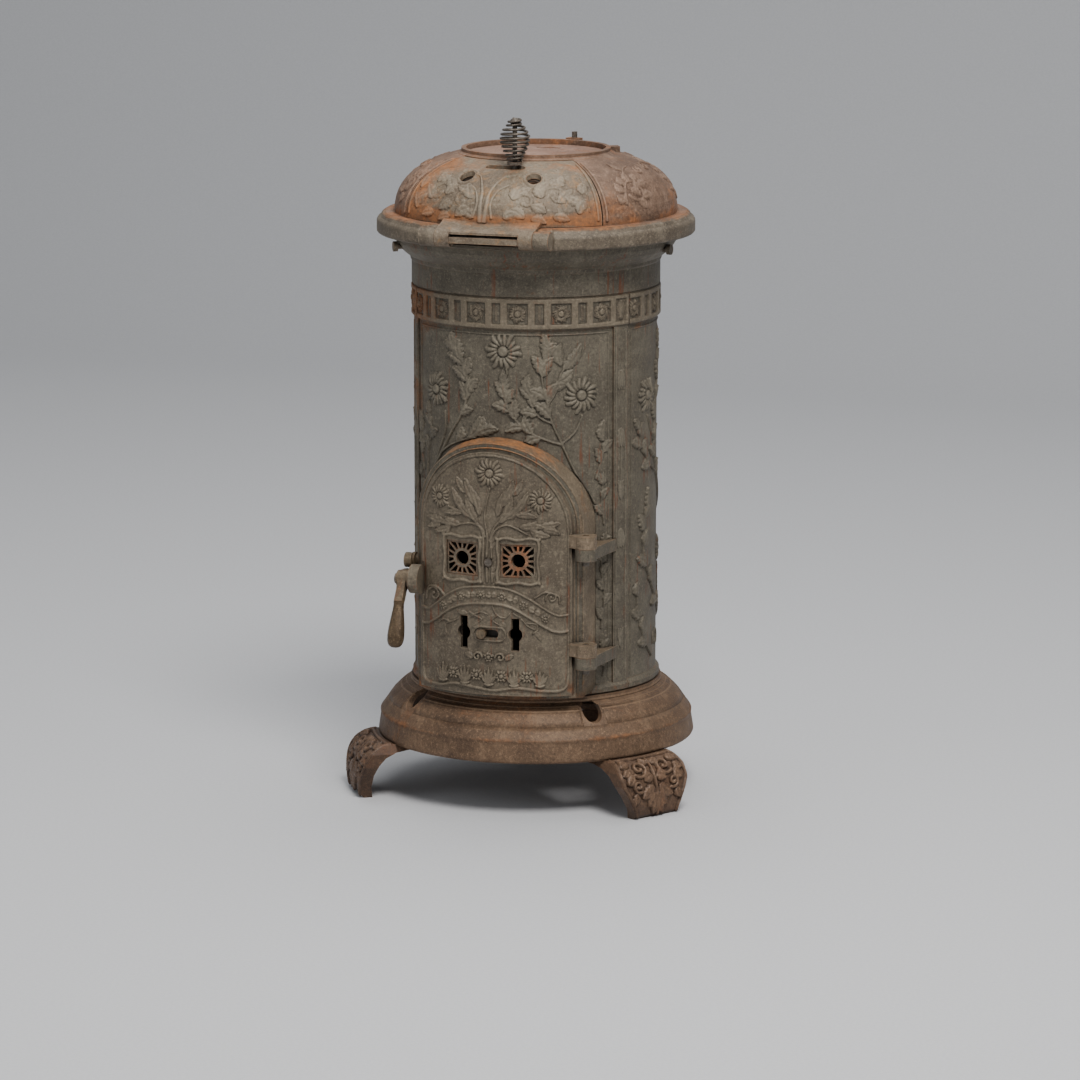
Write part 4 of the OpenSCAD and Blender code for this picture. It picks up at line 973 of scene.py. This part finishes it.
BELL_REF, NECK_REF = 158.0, 140.0
bell = Revolved(smooth(BELL, 6), BELL_REF)
neck = Revolved([*BELL[5:], (137.5, 116.5), (135.2, 118), (135.0, 122.5)], NECK_REF)
rings = Relief(neck, 0, 2 * math.pi * NECK_REF, 0.3, neck.length[-1] - 0.2, 1.0)
for share, width, height in ((0.2, 1.5, 0.8), (0.52, 1.3, 0.7), (0.84, 1.5, 0.9)):
    level = share * neck.length[-1]
    rings.lift(slice(None), height * rounded(rings.v - level, width))
radius, height = neck.section(rings.v, 0)
for bolt in BOLT_ANGLES:
    off = np.abs(np.mod(np.degrees(rings.u / neck.ref) + 180, 360) - 180)
    rings.h[(np.abs(off - bolt) * math.pi / 180 * radius < BOLT_CLEAR) & (height < BOLT_TOP)] = 0
rings.piece("base_neck_rings", "stove", "base_iron", iron_base_relief, boost=1.0)
base = Relief(bell, 0, 2 * math.pi * BELL_REF, 0.5, bell.length[-1] - 0.5, 1.1)
for angle in (2, 70, 110, 178, 182, 250, 290, 358):
    u = bell.u(angle)
    for k, offset in enumerate((-15, -9, -3, 3, 9, 15)):
        base.leaf((u + 0.8 * offset, 1.5), (u + offset, 17 + 5 * (k % 2)), 1.5, 0.05 * offset, 1, 0.75, 0.1)
base.piece("base_leaves", "stove", "base_iron", iron_base_relief, boost=0.9)

FOOT_SIDE = [(168, 59.8), (180, 57.5), (190, 51), (197, 41), (201, 27), (202, 13), (201, 4), (199, 1.5)]
FOOT_EDGE = [(0, 29.5), (8, 31), (22, 38), (36, 45), (50, 46), (60, 42)]


def foot_ornament(r):
    """Acanthus leaf with a centre vein, side scrolls and a raised border."""
    z = r.surface.section(r.v, 0)[1]
    half = np.interp(z, *zip(*FOOT_EDGE))
    length = r.surface.length[-1]
    border = np.clip(1 - np.abs(np.abs(r.u) - (half - 2.6)) / 2.0, 0, 1) ** 0.5
    r.lift(slice(None), 1.7 * border)
    r.stem([(-40, 5.5), (0, 7.5), (40, 5.5)], 2.2, height=1.6)
    r.stem([(0, 12), (0, length - 3)], 1.4, 2.2, 1.9)
    for s in (-1, 1):
        r.scroll((17 * s, 24), 10.5, 90 - 50 * s, 1.25 * s, 2.2, 2.2)
        r.scroll((24 * s, 43), 7, 90 + 30 * s, -1.2 * s, 1.9, 2.0)
        for start, tip, width, bend in (((3, 20), (11, 12), 4.6, 1), ((3, 34), (15, 38), 5.2, -2),
                ((4, 44), (21, 56), 5.2, 2), ((3, 52), (13, 66), 5.0, 2), ((26, 14), (38, 20), 4.6, -2),
                ((28, 30), (38, 40), 4.6, 2), ((28, 50), (31, 62), 4.0, 1), ((2, 60), (7, 74), 4.2, 1),
                ((30, 24), (40, 30), 4, 1)):
            r.leaf((s * start[0], start[1]), (s * tip[0], tip[1]), width, s * bend, 4, 2.2, 0.2)
    r.h *= np.clip((half - 0.8 - np.abs(r.u)) / 1.0, 0, 1) ** 0.5


for name, angle in FOOT_ANGLES.items():
    face = Profiled(smooth(FOOT_SIDE, 6), angle)
    foot = Relief(face, -47, 47, 1.0, face.length[-1] - 1.5, 0.8)
    foot_ornament(foot)
    foot.piece(name + "_acanthus", "stove", "foot_iron", iron_foot_relief)


# ---------- handles ----------


def coil():
    """Egg-shaped coil of round wire with a knob of tight turns on top."""
    low, high = (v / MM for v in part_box("coil_handle"))
    stem_low, stem_high = (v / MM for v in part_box("handle_stem"))
    cx, cy = (stem_low.x + stem_high.x) / 2, (stem_low.y + stem_high.y) / 2
    wire = 1.25
    foot, head = low.z + wire + 0.1, high.z - wire - 0.1
    shape = [(0, 8.4), (0.1, 9.2), (0.26, 13.0), (0.42, 15.8), (0.58, 16.2), (0.72, 13.4), (0.82, 9.4),
        (0.88, 6.8), (0.93, 8.4), (0.97, 7.0), (1, 2.6)]
    turns = 10.5
    rings = []
    for t in np.linspace(0, 1, 640):
        turn = 2 * math.pi * turns * t
        reach = np.interp(t, *zip(*shape)) - wire
        way = np.array([math.cos(turn), math.sin(turn), 0])
        rise = foot + (head - foot) * (t - 0.035 * math.sin(2 * math.pi * t) * math.cos(math.pi * t) ** 2)
        centre = np.array([cx, cy, rise]) + reach * way
        around = np.linspace(0, 2 * math.pi, 10, endpoint=False)
        rings.append([centre + wire * (math.cos(b) * way + math.sin(b) * np.array([0, 0,
            1])) for b in around])
    loft("handle_coil", rings, "flap_shutter", wire_old)
    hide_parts("coil_handle")
    # Rod up the middle of the coil, with a flattened head.
    rod = []
    for reach, z in ((2.0, foot + 2), (2.2, foot + 14), (1.8, foot + 24), (2.2, head - 8),
            (4.4, head - 5.5), (5.2, head - 3), (4.6, head - 1.2), (2.6, head + 0.2), (0.8, head + 0.5)):
        rod.append([(cx + reach * math.cos(b), cy + reach * math.sin(b), z) for b in np.linspace(0,
            2 * math.pi, 16, endpoint=False)])
    loft("coil_core", rod, "flap_shutter", wire_old)


def grip():
    """Drop-shaped grip with soft facets, worn bright."""
    low, high = (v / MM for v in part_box("latch_grip"))
    lean = math.radians(17)
    top = np.array([(low.x + high.x) / 2, high.y - 4.4, high.z - 1.2])
    down = np.array([0, -math.sin(lean), -math.cos(lean)])
    side = np.array([0, -math.cos(lean), math.sin(lean)])
    shape = [(-3, 4.6), (-1.5, 5.3), (1.2, 5.6), (3, 5.3), (8, 5.6), (16, 6.6), (26, 7.8), (35, 8.5),
        (42, 8.3), (46.5, 6.9), (49, 4.6), (50, 1.6)]
    rings = []
    for along, reach in zip(*smooth(shape, 4).T):
        ring = []
        for k in range(24):
            b = 2 * math.pi * k / 24
            facet = reach * (0.94 + 0.06 * math.cos(8 * b))
            ring.append(top + down * along * 0.985 + 1.12 * facet * math.cos(b) * np.array([1, 0, 0])
                + 0.8 * facet * math.sin(b) * side)
        rings.append(ring)
    loft("grip_drop", rings, "latch", brass_worn)
    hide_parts("latch_grip")


coil()
grip()


# ---------- floor, light and camera ----------


def plain(name, colour, roughness):
    g = Graph(name)
    soft = g.mix(g.ramp(g.noise(260, 3), 0.35, 0.65, 0.0, 0.5), tone(*colour), shade(colour, 0.95))
    shader = g.node("ShaderNodeBsdfPrincipled", {"Base Color": soft, "Roughness": roughness}).outputs["BSDF"]
    g.node("ShaderNodeOutputMaterial", {"Surface": shader})
    return g.material


def cyclorama(depth, reach, height, bend):
    """Floor that curves up into a backdrop."""
    turn = np.linspace(0, math.pi / 2, 24)
    y = np.r_[-reach, depth - bend + bend * np.sin(turn), depth]
    z = np.r_[0, bend - bend * np.cos(turn), height]
    rows = [[(x, b, c) for b, c in zip(y, z)] for x in (-reach, reach)]
    count = len(y)
    mesh = bpy.data.meshes.new("floor")
    mesh.from_pydata(rows[0] + rows[1], [], [(k, k + count, k + count + 1, k + 1) for k in range(count - 1)])
    mesh.polygons.foreach_set("use_smooth", [True] * len(mesh.polygons))
    mesh.materials.append(plain("floor_paper", (196, 196, 198), 0.9))
    floor = bpy.data.objects.new("floor", mesh)
    bpy.context.scene.collection.objects.link(floor)


cyclorama(4.2, 9.0, 5.0, 1.6)


LIGHT_AIM = Vector((0, 0, 0.4))


def area_light(name, azimuth, elevation, distance, size, power, colour=(1, 1, 1)):
    light = bpy.data.lights.new(name, "AREA")
    light.shape = "RECTANGLE"
    light.size, light.size_y = size
    light.energy = power
    light.color = colour
    holder = bpy.data.objects.new(name, light)
    a, e = math.radians(azimuth), math.radians(elevation)
    way = Vector((math.sin(a) * math.cos(e), -math.cos(a) * math.cos(e), math.sin(e)))
    holder.location = LIGHT_AIM + way * distance
    holder.rotation_euler = (-way).to_track_quat("-Z", "Y").to_euler()
    bpy.context.scene.collection.objects.link(holder)


area_light("key", 34, 52, 3.0, (1.1, 1.1), 105, (1.0, 0.985, 0.96))
area_light("fill", -40, 24, 4.0, (2.0, 1.6), 12, (0.96, 0.98, 1.0))
area_light("top", 190, 72, 3.0, (2.2, 2.2), 42)

world = bpy.data.worlds.new("studio")
world.use_nodes = True
world.node_tree.nodes["Background"].inputs["Color"].default_value = (0.9, 0.94, 0.98, 1)
world.node_tree.nodes["Background"].inputs["Strength"].default_value = 0.41
bpy.context.scene.world = world

AZIMUTH, PITCH, DISTANCE, EYE = 18.5, 11.0, 5.3, 1.298
YAW = 0.0008  # radians that the view turns off the stove's axis
SENSOR, FIELD = 36.0, 0.216  # sensor width, and width of the view at unit distance
a, p = math.radians(AZIMUTH), math.radians(PITCH)
lens = bpy.data.cameras.new("camera")
lens.sensor_width = SENSOR
lens.lens = SENSOR / FIELD
lens.clip_start, lens.clip_end = 0.1, 40
camera = bpy.data.objects.new("camera", lens)
camera.location = (DISTANCE * math.sin(a), -DISTANCE * math.cos(a), EYE)
look = Vector((-math.sin(a - YAW) * math.cos(p), math.cos(a - YAW) * math.cos(p), -math.sin(p)))
camera.rotation_euler = look.to_track_quat("-Z", "Y").to_euler()
bpy.context.scene.collection.objects.link(camera)
bpy.context.scene.camera = camera
